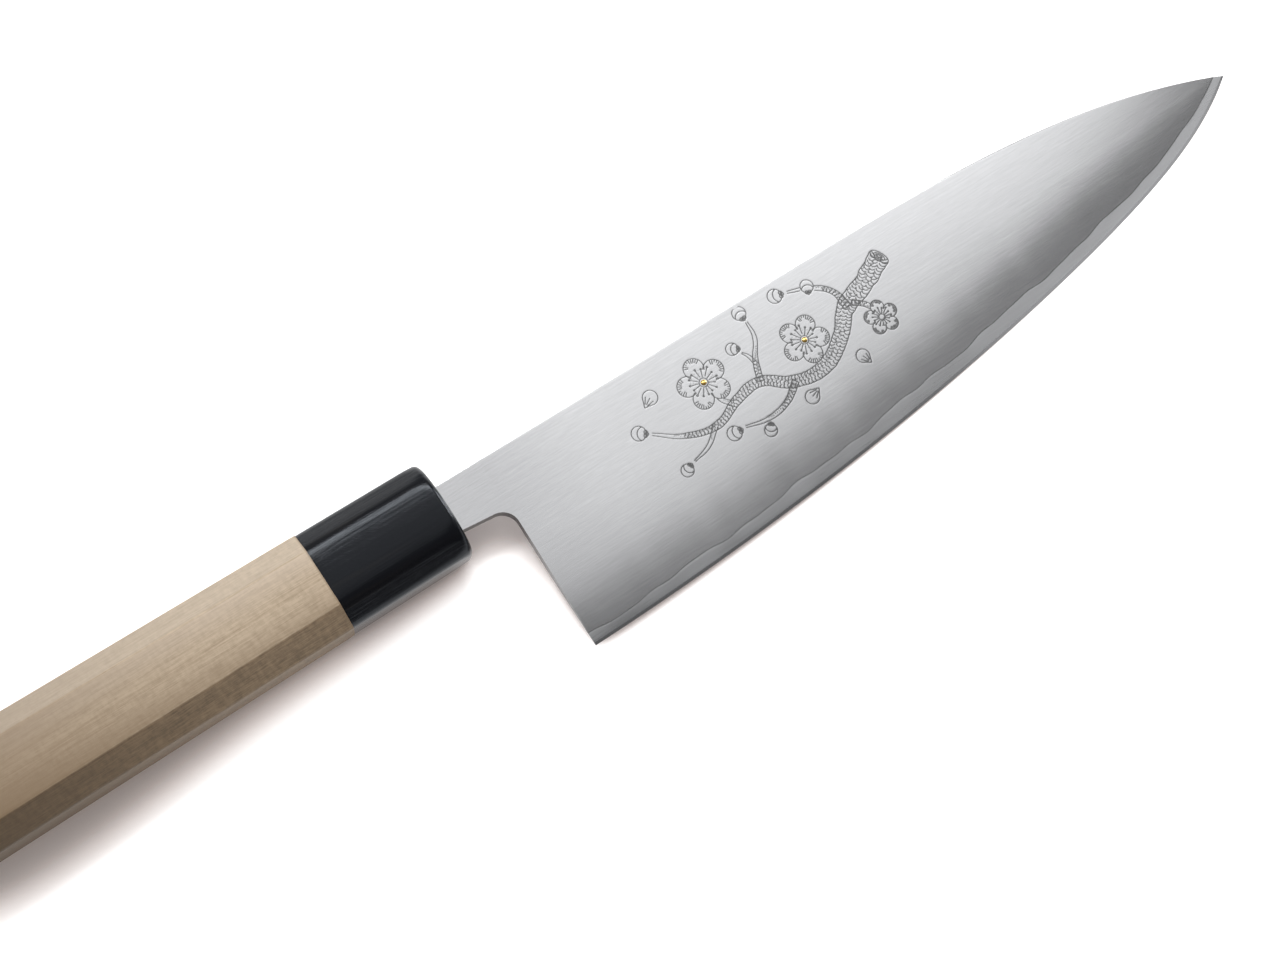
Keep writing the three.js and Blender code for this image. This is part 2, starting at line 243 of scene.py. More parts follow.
# Noise in the finishes: repeats per metre along x, y and z, detail, roughness, distortion, shift
UNMOVED = (0.0, 0.0, 0.0)
GRAINS = {
    "brushed lines": ((110.0, 3600.0, 300.0), 2.0, 0.55, 0.0, UNMOVED),
    "fine lines": ((330.0, 5200.0, 300.0), 2.0, 0.6, 0.0, (3.0, 1.0, 0.0)),
    "cladding cloud": ((14.0, 60.0, 60.0), 2.0, 0.5, 0.0, UNMOVED),
    "ragged weld": ((330.0, 330.0, 100.0), 3.0, 0.6, 0.0, UNMOVED),
    "ground lines": ((40.0, 5200.0, 500.0), 3.0, 0.6, 0.0, UNMOVED),
    "core cloud": ((45.0, 120.0, 90.0), 3.0, 0.55, 0.0, UNMOVED),
    "gold dents": ((1500.0, 1500.0, 1500.0), 2.0, 0.5, 0.0, UNMOVED),
    "horn streaks": ((16.0, 420.0, 420.0), 4.0, 0.6, 0.4, UNMOVED),
    "horn scratches": ((22.0, 1700.0, 1700.0), 3.0, 0.65, 0.0, (2.0, 5.0, 1.0)),
    "horn veins": ((9.0, 130.0, 130.0), 3.0, 0.6, 0.8, (1.0, 4.0, 2.0)),
    "horn polish": ((40.0, 5200.0, 5200.0), 2.0, 0.5, 0.0, UNMOVED),
    "wood bands": ((2.4, 90.0, 130.0), 2.0, 0.5, 0.4, UNMOVED),
    "wood growth": ((1.4, 900.0, 900.0), 2.0, 0.5, 0.2, (0.0, 3.0, 8.0)),
    "wood fibres": ((260.0, 3600.0, 3600.0), 4.0, 0.7, 0.0, UNMOVED),
    "wood silk": ((900.0, 420.0, 420.0), 3.0, 0.6, 0.0, UNMOVED),
    "wood strands": ((9.0, 1500.0, 1500.0), 3.0, 0.6, 0.0, (5.0, 1.0, 2.0)),
    "putty blotches": ((700.0, 700.0, 700.0), 4.0, 0.6, 0.0, UNMOVED),
}

# Places in millimetres along the knife between which a finish, a painted shade or the floor's shadow changes
HEEL_SHADE_RUN = (42.0, 8.0)
POLISH_RUN = (30.0, 160.0)
BUTT_SHADE_RUN = (-140.0, -40.0)
JOINT_RUN = (-FERRULE_LENGTH - 0.45, -FERRULE_LENGTH - 0.1)
NEAR_SHADOW_RUN = (-30.0, -3.0)
RAISED_RUN = (-40.0, -115.0)

# Weld line and engraved lines, in millimetres: how far the weld line is moved, where a change begins and ends
WELD_RAGGED = 0.5
WELD_SHIFT = 0.16
WELD_BARE = (0.05, -0.1)
WELD_ABOVE = (0.2, 0.08)
WELD_BELOW = (-0.2, -0.08)
STROKE_EDGE = (0.04, -0.08)
PUNCH_EDGE = (0.2, 0.08)
BEVEL_EDGE = (0.1, -0.1)

# Numbers that finishes share: cover of the painted shade on the edge-on sides, half height of a broad facet,
# depth of fine lines
SIDE_COVER = 0.98
BROAD_HALF = 0.0065
FINE_DEPTH = 0.00001

# Gloss of the horn
HORN_IOR = 1.37
HORN_SHEEN = (0.86, 0.92, 1.0, 1.0)

# Softboxes: name, shape, middle in metres from the blade's zero, roll, size, brightness
# The roll is in degrees for one that hangs level, and None for one that faces the knife
SOFTBOXES = (
    ("long softbox", "ELLIPSE", (0.31, 0.212, 1.0), 16.5, (1.46, 0.52), 0.69),
    ("bright softbox", "ELLIPSE", (0.63, 0.4, 0.99), 0.0, (0.72, 0.48), 0.36),
    ("low fill", "RECTANGLE", (0.92, -0.196, 1.0), 16.5, (0.62, 0.32), 0.7),
    ("side softbox", "RECTANGLE", (0.1, 0.735, 1.075), None, (1.3, 0.25), 11.7),
    ("rim softbox", "RECTANGLE", (1.28, 0.25, 0.5), None, (0.24, 0.24), 30.0),
)

# Natural rest on a table: the left bevel of the belly and the ferrule's lower front ridge
REST_BELLY_X = 179.0
FLOOR_RADIUS = 9.0
FLOOR_SIDES = 96
FLOOR_GAP = 0.0001
SHADOW_SAMPLES = 32
SHADOW_BAND = (0.37, 0.75)
SHADOW_LEAST = 0.15
NEAR_SHADOW = 0.5
RAISED_SHADE = 0.13
WHITE = (1.0, 1.0, 1.0)

# Room around the knife: heights between which the horizon and the ceiling change to the walls, from 0 to 1
HORIZON_BAND = (0.08, 0.22)
CEILING_BAND = (0.5, 0.75)
WALL_TURN = (-0.8, 0.3)
FAR_WALL = 0.3

# Camera at the photo's angle, in the same millimetres
CAMERA_PLACE = (-63.14, -76.97, 436.84)
CAMERA_FORWARD = (0.22996, 0.13126, -0.96431)
CAMERA_UP = (0.51970, 0.82119, 0.23572)
CAMERA_LENS = 56.25
CAMERA_SENSOR = 36.0
CAMERA_NEAR = 0.01


def frame_origin():
    """Where the blade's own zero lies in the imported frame, in metres."""
    low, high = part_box("core_steel")
    return np.array((high[0] - TIP_X * MM, low[1] + HEEL_DEPTH * MM, (low[2] + high[2]) / 2))


ORIGIN = frame_origin()


def placed(points):
    """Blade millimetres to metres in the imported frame."""
    return np.asarray(points, dtype=float) * MM + ORIGIN


def frame_x(x):
    """A place along the knife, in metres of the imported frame."""
    return x * MM + float(ORIGIN[0])


def frame_run(run):
    """Two places along the knife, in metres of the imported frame."""
    return [frame_x(x) for x in run]


def node_size(node):
    """Size of a node's box, in metres."""
    low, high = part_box(node)
    return [high[axis] - low[axis] for axis in range(3)]


class Socket:
    """An output socket of a node; arithmetic on it adds Math nodes to its tree."""

    def __init__(self, tree, socket):
        self.tree = tree
        self.socket = socket

    def out(self, name):
        return Socket(self.tree, Tree.find(self.socket.node.outputs, name))

    def math(self, operation, *values):
        return self.tree.add("ShaderNodeMath", {"operation": operation}, dict(enumerate(values)))

    def __add__(self, other):
        return self.math("ADD", self, other)

    def __radd__(self, other):
        return self.math("ADD", other, self)

    def __sub__(self, other):
        return self.math("SUBTRACT", self, other)

    def __rsub__(self, other):
        return self.math("SUBTRACT", other, self)

    def __mul__(self, other):
        return self.math("MULTIPLY", self, other)

    def __rmul__(self, other):
        return self.math("MULTIPLY", other, self)

    def __truediv__(self, other):
        return self.math("DIVIDE", self, other)

    def __rtruediv__(self, other):
        return self.math("DIVIDE", other, self)

    def __pow__(self, other):
        return self.math("POWER", self, other)

    def __abs__(self):
        return self.math("ABSOLUTE", self)

    def __lt__(self, other):
        return self.math("LESS_THAN", self, other)

    def __gt__(self, other):
        return self.math("GREATER_THAN", self, other)

    def least(self, other):
        return self.math("MINIMUM", self, other)

    def most(self, other):
        return self.math("MAXIMUM", self, other)

    def eased_least(self, other, distance):
        return self.math("SMOOTH_MIN", self, other, distance)

    def step(self, start, end, low=0.0, high=1.0):
        """A smooth step from low at start to high at end."""
        settings = {"interpolation_type": "SMOOTHSTEP"}
        if start > end:
            start, end, low, high = end, start, high, low
        values = {"Value": self, "From Min": start, "From Max": end, "To Min": low, "To Max": high}
        return self.tree.add("ShaderNodeMapRange", settings, values)

    def clamped(self):
        return self.most(0.0).least(1.0)

    def swing(self, share):
        """How far a noise lies from its middle, times a share."""
        return (self - 0.5) * share

    def axes(self):
        """The three numbers of a vector."""
        parts = self.tree.add("ShaderNodeSeparateXYZ", {}, {"Vector": self})
        return parts.out("X"), parts.out("Y"), parts.out("Z")

    def scaled(self, factor):
        values = {"Vector": self, "Scale": factor}
        return self.tree.add("ShaderNodeVectorMath", {"operation": "SCALE"}, values)


class Tree:
    """A node tree under construction."""

    def __init__(self, tree):
        self.tree = tree

    @staticmethod
    def find(sockets, key):
        """A socket by place, or the first one in use with that name."""
        if isinstance(key, int):
            return sockets[key]
        for socket in sockets:
            if socket.enabled and key in (socket.name, socket.identifier):
                return socket
        raise KeyError(f"no socket {key} among {[socket.name for socket in sockets]}")

    def add(self, kind, settings=None, inputs=None):
        """A node of that kind, with its settings first and then its inputs; gives its first output."""
        node = self.tree.nodes.new(kind)
        for name, value in (settings or {}).items():
            setattr(node, name, value)
        for key, value in (inputs or {}).items():
            self.feed(self.find(node.inputs, key), value)
        outputs = [socket for socket in node.outputs if socket.enabled]
        return Socket(self, outputs[0]) if outputs else None

    def feed(self, socket, value):
        """Links or sets one socket; a list links several things to it."""
        if isinstance(value, list):
            for item in value:
                self.feed(socket, item)
        elif isinstance(value, Socket):
            self.tree.links.new(value.socket, socket)
        elif socket.type == "RGBA" and len(value) == 3:
            socket.default_value = (*value, 1.0)
        else:
            socket.default_value = value

    def mix(self, factor, low, high):
        """Colours mixed by a factor from 0 to 1."""
        return self.add("ShaderNodeMix", {"data_type": "RGBA"}, {"Factor": factor, "A": low, "B": high})

    def vector(self, x=0.0, y=0.0, z=0.0):
        return self.add("ShaderNodeCombineXYZ", {}, {"X": x, "Y": y, "Z": z})


class Finish(Tree):
    """A material with one Principled shader."""

    def __init__(self, name):
        self.material = bpy.data.materials.new(name)
        self.material.use_nodes = True
        super().__init__(self.material.node_tree)
        self.tree.nodes.clear()
        self.place = self.add("ShaderNodeTexCoord").out("Object")

    def grain(self, name):
        """One of the noises, stretched over the object's own metres."""
        scale, detail, roughness, distortion, shift = GRAINS[name]
        values = {"Vector": self.place, "Location": shift, "Scale": scale}
        stretched = self.add("ShaderNodeMapping", {}, values)
        values = {"Vector": stretched, "Scale": 1.0, "Detail": detail, "Roughness": roughness,
                  "Distortion": distortion}
        return self.add("ShaderNodeTexNoise", {}, values)

    def facing(self, name):
        """The three numbers of one of the surface's normals."""
        return self.add("ShaderNodeNewGeometry").out(name).axes()

    def mark(self, name):
        """A number stored on the mesh."""
        return self.add("ShaderNodeAttribute", {"attribute_name": name}).out("Fac")

    def bump(self, height, distance, strength):
        values = {"Height": height, "Distance": distance, "Strength": strength}
        return self.add("ShaderNodeBump", {}, values)

    def close(self, **inputs):
        """Ends the material in a Principled shader with these inputs."""
        named = {}
        for name, value in inputs.items():
            label = name.replace("_", " ").title()
            named[label.replace("Ior", "IOR")] = value
        shader = self.add("ShaderNodeBsdfPrincipled", {}, named)
        self.add("ShaderNodeOutputMaterial", {}, {"Surface": shader})
        return self.material


class Shape(Tree):
    """A Geometry Nodes tree with named inputs."""

    KINDS = {"geometry": "NodeSocketGeometry", "size": "NodeSocketFloat", "object": "NodeSocketObject",
             "material": "NodeSocketMaterial", "place": "NodeSocketVector"}

    def __init__(self, name, **inputs):
        super().__init__(bpy.data.node_groups.new(name, "GeometryNodeTree"))
        self.tree.interface.new_socket("Geometry", in_out="OUTPUT", socket_type="NodeSocketGeometry")
        for label, kind in inputs.items():
            self.tree.interface.new_socket(label, in_out="INPUT", socket_type=self.KINDS[kind])
        self.inputs = self.add("NodeGroupInput")

    def given(self, label):
        return self.inputs.out(label)

    def put(self, geometry, position=None, offset=None):
        """The geometry with its points set to a position or moved by an offset."""
        values = {"Geometry": geometry}
        if position is not None:
            values["Position"] = position
        if offset is not None:
            values["Offset"] = offset
        return self.add("GeometryNodeSetPosition", {}, values)

    def join(self, *parts):
        return self.add("GeometryNodeJoinGeometry", {}, {"Geometry": list(reversed(parts))})

    def chance(self, low, high, seed):
        """A random number for each point."""
        values = {"Min": low, "Max": high, "Seed": seed}
        return self.add("FunctionNodeRandomValue", {"data_type": "FLOAT"}, values)

    def named(self, name):
        """A number stored on the geometry."""
        return self.add("GeometryNodeInputNamedAttribute", {"data_type": "FLOAT"}, {"Name": name})

    def keep(self, geometry, name, value):
        """Stores a number on each point of the geometry."""
        settings = {"data_type": "FLOAT", "domain": "POINT"}
        values = {"Geometry": geometry, "Name": name, "Value": value}
        return self.add("GeometryNodeStoreNamedAttribute", settings, values)

    def moved(self, part, **values):
        """A part with a Translation, a Rotation or a Scale."""
        return self.add("GeometryNodeTransform", {}, {"Geometry": part, **values})

    def copies(self, points, part, **values):
        """Instances of a part on points, with a Rotation, a Scale or a Selection."""
        values = {"Points": points, "Instance": part, **values}
        return self.add("GeometryNodeInstanceOnPoints", {}, values)

    def realized(self, geometry):
        return self.add("GeometryNodeRealizeInstances", {}, {"Geometry": geometry})

    def disc(self, sides, radius):
        values = {"Vertices": sides, "Radius": radius}
        return self.add("GeometryNodeMeshCircle", {"fill_type": "NGON"}, values)

    def distance(self, kind, target, **values):
        """How far a place lies from the faces, edges or points of a target."""
        found = self.add("GeometryNodeProximity", {"target_element": kind}, {0: target, **values})
        return found.out("Distance")

    def without(self, geometry, chosen):
        """The geometry without its chosen points."""
        settings = {"domain": "POINT", "mode": "ALL"}
        values = {"Geometry": geometry, "Selection": chosen}
        return self.add("GeometryNodeDeleteGeometry", settings, values)

    def close(self, geometry, material=None):
        """Realizes the geometry, gives it its material and makes it the result."""
        solid = self.realized(geometry)
        if material is not None:
            solid = self.add("GeometryNodeSetMaterial", {}, {"Geometry": solid, "Material": material})
        self.add("NodeGroupOutput", {}, {"Geometry": solid})
        return self.tree


def run_tree(tree, base, **values):
    """The plain mesh that a geometry tree makes of a base mesh."""
    host = bpy.data.objects.new("tree host", base)
    bpy.context.scene.collection.objects.link(host)
    modifier = host.modifiers.new("shape", "NODES")
    modifier.node_group = tree
    for item in tree.interface.items_tree:
        if item.in_out == "INPUT" and item.name in values:
            modifier[item.identifier] = values[item.name]
    graph = bpy.context.evaluated_depsgraph_get()
    result = host.evaluated_get(graph)
    mesh = bpy.data.meshes.new_from_object(result, preserve_all_data_layers=True, depsgraph=graph)
    bpy.data.objects.remove(host)
    return mesh


def new_object(name, data):
    """An object of that data, linked to the scene."""
    piece = bpy.data.objects.new(name, data)
    bpy.context.scene.collection.objects.link(piece)
    return piece


def dress(name, mesh, nodes, material=None):
    """A finished piece that stands for its nodes and rides with the knife."""
    mesh.name = name
    if material is not None:
        mesh.materials.clear()
        mesh.materials.append(material)
    piece = new_object(name, mesh)
    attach(piece, "root")
    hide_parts(*nodes)
    return piece


def smoothed(mesh, angle):
    """The mesh with smooth faces and with sharp edges past an angle."""
    mesh.shade_smooth()
    mesh.set_sharp_from_angle(angle=math.radians(angle))
    return mesh


def store(mesh, name, values):
    """Keeps one number for each vertex on the mesh."""
    attribute = mesh.attributes.new(name, "FLOAT", "POINT")
    attribute.data.foreach_set("value", np.asarray(values, dtype=np.float32))


def blade_points(mesh):
    """The mesh's vertices in blade millimetres."""
    flat = np.empty(len(mesh.vertices) * 3)
    mesh.vertices.foreach_get("co", flat)
    return (flat.reshape(-1, 3) - ORIGIN) / MM


def blade_share(x):
    """0 at the heel, 1 at the tip."""
    return np.clip((x - HEEL_X) / BLADE_LENGTH, 0.0, None)


def spine_y(x):
    bend = np.clip((x - SPINE_BEND_X) / (TIP_X - SPINE_BEND_X), 0.0, None)
    return SPINE_Y - (SPINE_Y - TIP_Y) * bend ** SPINE_FALL_POWER


def edge_y(x):
    share = blade_share(x)
    return -HEEL_DEPTH + BELLY_RISE * share ** 2 + TIP_RISE * share ** TIP_RISE_POWER


def weld_y(x):
    """The wavy line where the cladding ends and the core shows."""
    share = blade_share(x)
    wave = sum(height * np.sin(2 * math.pi * x / run + shift) for height, run, shift in FORGE_WAVES)
    strip = CORE_SHOW + CORE_SHOW_SWELL * np.sin(math.pi * share)
    return edge_y(x) + strip + (1 - share ** WAVE_FADE_POWER) * wave


def cladding_end():
    """Where the weld line meets the spine, near the tip."""
    low = TIP_X - SEARCH_RUN
    high = TIP_X
    for _ in range(SEARCH_HALVINGS):
        middle = (low + high) / 2
        if weld_y(middle) < spine_y(middle):
            low = middle
        else:
            high = middle
    return low


CLADDING_END = cladding_end()


def flat_half(x):
    """Half the blade's thickness above the grind, tapering to the tip and along the tang."""
    front = HEEL_HALF - HALF_TAPER * (np.maximum(x, SHOULDER_X) - HEEL_X)
    back = np.clip((SHOULDER_X - x) / (SHOULDER_X - TANG_END_X), 0.0, 1.0)
    return front + (TANG_END_HALF - front) * back


def tang_taper(x, shoulder_value):
    """Height of the tang's side over its axis, from the shoulder back."""
    step = np.clip((SHOULDER_X - x) / SHOULDER_RUN, 0.0, 1.0)
    behind = np.clip((SHOULDER_X - SHOULDER_RUN - x) / (SHOULDER_X - SHOULDER_RUN - TANG_END_X), 0.0, 1.0)
    tang = TANG_HEIGHT / 2 + (TANG_END_HEIGHT - TANG_HEIGHT) / 2 * behind
    return shoulder_value + (tang - shoulder_value) * step


def neck_y(x):
    return -(NECK_DEPTH + NECK_FALL * np.asarray(x, dtype=float))


FILLET_X = HEEL_FACE_X - NECK_FILLET
HEEL_TOP_Y = float(neck_y(FILLET_X)) - NECK_FILLET


def underside_y(x):
    """The lower side of the tang, the neck and the fillet behind the heel."""
    neck = -tang_taper(x, -neck_y(np.maximum(x, SHOULDER_X)))
    reach = np.clip(x - FILLET_X, 0.0, NECK_FILLET)
    fillet = HEEL_TOP_Y + np.sqrt(NECK_FILLET ** 2 - reach ** 2)
    return np.where(x > FILLET_X, fillet, neck)


def top_y(x):
    return np.where(x < SHOULDER_X, tang_taper(x, SPINE_Y), spine_y(x))


def steps(start, end, size):
    """Even places from start to end, no further apart than size."""
    return np.linspace(start, end, max(2, int(math.ceil(abs(end - start) / size)) + 1))


def joined_steps(*runs):
    """Runs of places, without the repeats where they meet."""
    return np.unique(np.round(np.concatenate(runs), 6))


def blade_columns(end, fine):
    """Columns of the blade's grid, closer in the engraved field and at the tip."""
    return joined_steps(
        steps(HEEL_FACE_X, FIELD_X[0], COARSE_STEP),
        steps(*FIELD_X, FIELD_STEP if fine else COARSE_STEP),
        steps(FIELD_X[1], TIP_X - TIP_RUN, COARSE_STEP),
        steps(TIP_X - TIP_RUN, end - END_RUN, TIP_STEP),
        steps(end - END_RUN, end, END_STEP),
    )


def neck_columns():
    """Columns from the tang's end to the heel face, closer on the fillet."""
    return joined_steps(
        steps(TANG_END_X, SHOULDER_X - SHOULDER_RUN, TANG_STEP),
        steps(SHOULDER_X - SHOULDER_RUN, SHOULDER_X, NECK_STEP),
        steps(SHOULDER_X, FILLET_X, NECK_STEP),
        FILLET_X + NECK_FILLET * np.sin(np.linspace(0, math.pi / 2, FILLET_COLUMNS)),
    )


def leaned(x, y):
    """Moves the columns next to the heel face so that the first one follows its lean."""
    lean = HEEL_LEAN * np.clip((HEEL_TOP_Y - y) / (HEEL_TOP_Y + HEEL_DEPTH), 0.0, None)
    fade = np.clip(1 - (x - HEEL_FACE_X) / LEAN_RUN, 0.0, 1.0)
    return x - lean * fade


def closed_layer(main, neck, back_main, back_neck, seam_row, flip):
    """A closed blade layer from its outer grids and its back grids, which meet at the heel's top."""
    points = []
    faces = []

    def numbered(grid):
        start = sum(len(part) for part in points)
        points.append(grid.reshape(-1, 3))
        return start + np.arange(grid.shape[0] * grid.shape[1]).reshape(grid.shape[:2])

    def sheet(index, backwards):
        corners = [index[:-1, :-1], index[:-1, 1:], index[1:, 1:], index[1:, :-1]]
        quads = np.stack(corners, axis=-1).reshape(-1, 4)
        faces.extend((quads[:, ::-1] if backwards else quads).tolist())

    front, shank, back, back_shank = (numbered(grid) for grid in (main, neck, back_main, back_neck))
    sheet(front, False)
    sheet(shank, False)
    sheet(back, True)
    sheet(back_shank, True)
    sheet(np.stack([front[-1], back[-1]]), False)
    sheet(np.stack([shank[-1], back_shank[-1]]), False)
    sheet(np.stack([back_shank[0], shank[0]]), False)
    heel_rows = front[:seam_row + 1, 0].tolist()
    back_rows = back[:, 0].tolist()
    middle = len(back_rows) // 2 if len(back_rows) == 3 else seam_row
    faces.append(heel_rows + back_rows[middle::-1])
    faces.append(shank[:, 0].tolist() + back_shank[::-1, 0].tolist())
    layer = np.concatenate(points)
    if flip:
        layer = layer * (1, 1, -1)
        faces = [face[::-1] for face in faces]
    mesh = bpy.data.meshes.new("layer")
    mesh.from_pydata(placed(layer).tolist(), [], faces)
    builder = bmesh.new()
    builder.from_mesh(mesh)
    bmesh.ops.remove_doubles(builder, verts=builder.verts, dist=MERGE_DISTANCE)
    bmesh.ops.dissolve_degenerate(builder, edges=builder.edges, dist=FLAT_DISTANCE)
    builder.to_mesh(mesh)
    builder.free()
    return smoothed(mesh, BLADE_SHARP)


def cladding_rows(fine):
    """Rows from the weld line, 0, to the spine's easing, 1, and the number of the one at the heel's top."""
    heel_weld = float(weld_y(HEEL_FACE_X))
    height = SPINE_Y - SPINE_EASE - heel_weld
    seam = (HEEL_TOP_Y - heel_weld) / height
    near_weld = np.array(WELD_ROWS) / height
    middle_weld = float(weld_y(FIELD_MIDDLE_X))
    span = float(spine_y(FIELD_MIDDLE_X)) - SPINE_EASE - middle_weld
    field = [(y - middle_weld) / span for y in FIELD_Y]
    rows = joined_steps(
        near_weld,
        steps(near_weld[-1], field[0], COARSE_STEP / span),
        steps(*field, (FIELD_STEP if fine else COARSE_STEP) / span),
        steps(field[1], 1.0, SPINE_STEP / span),
    )
    nearest = int(np.argmin(abs(rows - seam)))
    rows[nearest] = seam
    return rows, nearest


def outer_height(x, y):
    """How far a cladding's face stands from the blade's middle."""
    half = flat_half(x)
    weld = np.minimum(weld_y(x), spine_y(x))
    top = top_y(x)
    ground = weld + GROUND_SHARE * (top - weld)
    share = np.clip((ground - y) / np.maximum(ground - weld, LEAST_SPAN), 0.0, 1.0)
    share = np.where(x < HEEL_FACE_X, 0.0, share)
    rise = np.clip((y - ground) / np.maximum(top - ground, LEAST_SPAN), 0.0, 1.0)
    neck_rise = np.clip((y - NECK_CROWN_Y) / NECK_CROWN_SPAN, 0.0, 1.0)
    rise = np.where(x < HEEL_FACE_X, neck_rise, rise)
    crown = FLAT_CROWN * rise ** 2 * np.clip(half - CORE_HALF, 0.0, 1.0)
    return half - (half - CORE_HALF) * share ** 2 - crown


def eased_grid(x, low, rows):
    """Outer grid between a lower line and the eased spine, closed down to the core's face."""
    top = top_y(x)
    height = outer_height(x, top)
    room = SPINE_EASE_ROOM * np.maximum(height - CORE_HALF, 0.0)
    ease = np.minimum(np.minimum(SPINE_EASE, room), 0.5 * (top - low))
    y = low + (top - ease - low) * rows[:, None]
    wide_x = np.broadcast_to(x, y.shape)
    grid = [np.stack([wide_x, y, outer_height(wide_x, y)], axis=-1)]
    shoulder = outer_height(x, top - ease)
    for turn in np.linspace(0, math.pi / 2, SPINE_EASE_ROWS + 1)[1:]:
        rounded_y = top - ease + ease * math.sin(turn)
        rounded_z = shoulder - ease * (1 - math.cos(turn))
        grid.append(np.stack([x, rounded_y, rounded_z], axis=-1)[None])
    grid.append(np.stack([x, top, np.full_like(x, CORE_HALF)], axis=-1)[None])
    return np.concatenate(grid)


def cladding_mesh(fine, flip):
    """One cladding of the blade, with the neck and the tang behind it."""
    rows, seam_row = cladding_rows(fine)
    seam = rows[seam_row]
    x = blade_columns(CLADDING_END, fine)
    low = weld_y(x)
    main = eased_grid(x, low, rows)
    main[:len(rows), :, 2] = np.maximum(main[:len(rows), :, 2], CORE_HALF)
    main[..., 0] = leaned(main[..., 0], main[..., 1])
    back_rows = main[[0, seam_row, -1]].copy()
    back_rows[..., 2] = CORE_HALF
    shank_x = neck_columns()
    shank = eased_grid(shank_x, underside_y(shank_x), (rows[seam_row:] - seam) / (1 - seam))
    back_shank = shank[[0, -1]].copy()
    back_shank[..., 2] = CORE_HALF
    return closed_layer(main, shank, back_rows, back_shank, seam_row, flip)


def core_mesh():
    """The hard core: full height, bare and ground below the weld line, with its cutting bevel."""
    columns = [blade_columns(CLADDING_END, False), steps(CLADDING_END, TIP_X, POINT_STEP)]
    x = np.unique(np.concatenate(columns))
    edge = edge_y(x)
    top = spine_y(x)
    half = np.interp(x, (CLADDING_END, TIP_X), (CORE_HALF, POINT_HALF))
    half[-1] = 0.0
    weld = np.minimum(weld_y(x), top)
    bevel = np.minimum(edge + CUTTING_BEVEL_WIDTH, edge + CUTTING_BEVEL_ROOM * (weld - edge))
    bevel_half = np.minimum(CUTTING_BEVEL_HALF, 0.5 * half)
    lines = [(edge, np.zeros_like(x))]
    for share in np.linspace(0, 1, CORE_ROWS):
        swell = share ** CORE_SWELL_POWER
        lines.append((bevel + (weld - bevel) * share, bevel_half + (half - bevel_half) * swell))
    seam_row = len(lines)
    first = float(weld[0])
    seam = (HEEL_TOP_Y - first) / (float(top[0]) - first)
    lines.append((weld + (top - weld) * seam, half))
    lines.append((top, half))
    main = np.stack([np.stack([x, y, z], axis=-1) for y, z in lines])
    main[..., 0] = leaned(main[..., 0], main[..., 1])
    shank_x = neck_columns()
    low = underside_y(shank_x)
    flat = np.full_like(shank_x, CORE_HALF)
    shank = np.stack([np.stack([shank_x, y, flat], axis=-1) for y in (low, top_y(shank_x))])
    other_side = (1, 1, -1)
    return closed_layer(main, shank, main * other_side, shank * other_side, seam_row, False)


def steel_marks(mesh):
    """Stores how far each vertex lies from the weld line and from the cutting edge, in millimetres."""
    points = blade_points(mesh)
    x = np.clip(points[:, 0], HEEL_X - HEEL_MARGIN, TIP_X)
    store(mesh, "above_weld", points[:, 1] - weld_y(x))
    store(mesh, "above_edge", points[:, 1] - edge_y(x))
    return mesh


def toned(tone, share):
    """A colour made darker or lighter."""
    return tuple(share * part for part in tone)


def shaded_sides(finish):
    """Mask of the painted shade on edge-on faces: 1 on the heel face and the neck's underside, less on the
    spine, 0 on the blade's faces.
    """
    along, rise, facing = finish.facing("True Normal")
    heel = along.step(-0.4, -0.9, 0.86, 1.0)
    return abs(facing).step(0.7, 0.45) * rise.step(0.2, 0.6, 1.0, 0.6) * heel


def cladding_steel(looks, engraved):
    """Brushed cladding with painted shade towards the heel and on its edge-on sides, a dark weld line, and
    worn strokes where engraved.
    """
    finish = Finish("engraved cladding steel" if engraved else "cladding steel")
    brushed = finish.grain("brushed lines") * 0.5 + finish.grain("fine lines") * 0.5
    cloud = finish.grain("cladding cloud")
    shade = (brushed.swing(looks.brush_contrast) + cloud.swing(0.3) + 0.5).clamped()
    colour = finish.mix(shade, toned(looks.cladding_colour, 0.84), looks.cladding_colour)
    along, _, _ = finish.place.axes()
    # Painted shade: the cladding darkens towards the heel and the neck
    heel_shade = along.step(*frame_run(HEEL_SHADE_RUN)) * 0.28
    colour = finish.mix(heel_shade, colour, looks.heel_shade_colour)
    above = finish.mark("above_weld") + finish.grain("ragged weld").swing(WELD_RAGGED) - WELD_SHIFT
    colour = finish.mix(above.step(*WELD_BARE), colour, looks.core_colour)
    weld = above.step(*WELD_ABOVE) * above.step(*WELD_BELOW)
    colour = finish.mix(weld * 0.8, colour, looks.weld_colour)
    # Painted shade: near-black colour on the heel face, the neck's underside and the spine
    side = shaded_sides(finish)
    colour = finish.mix(side * SIDE_COVER, colour, looks.side_shade_colour)
    polish = along.step(*frame_run(POLISH_RUN), looks.heel_roughness, looks.tip_roughness)
    roughness = polish + brushed.swing(0.03) + cloud.swing(0.03) + weld * 0.1 + side * 0.1
    height = brushed
    if engraved:
        half = looks.stroke_width / MM / 2
        cut = finish.mark("stroke").step(*[half + reach for reach in STROKE_EDGE])
        dot = finish.mark("punch").step(*PUNCH_EDGE) * 0.7
        worn = cut.most(dot)
        colour = finish.mix(worn * 0.9, colour, looks.engraved_colour)
        roughness = roughness + worn * 0.2
        height = brushed * (1 - worn)
    normal = finish.bump(height, FINE_DEPTH, 0.012)
    return finish.close(base_color=colour, metallic=1.0, roughness=roughness, normal=normal)


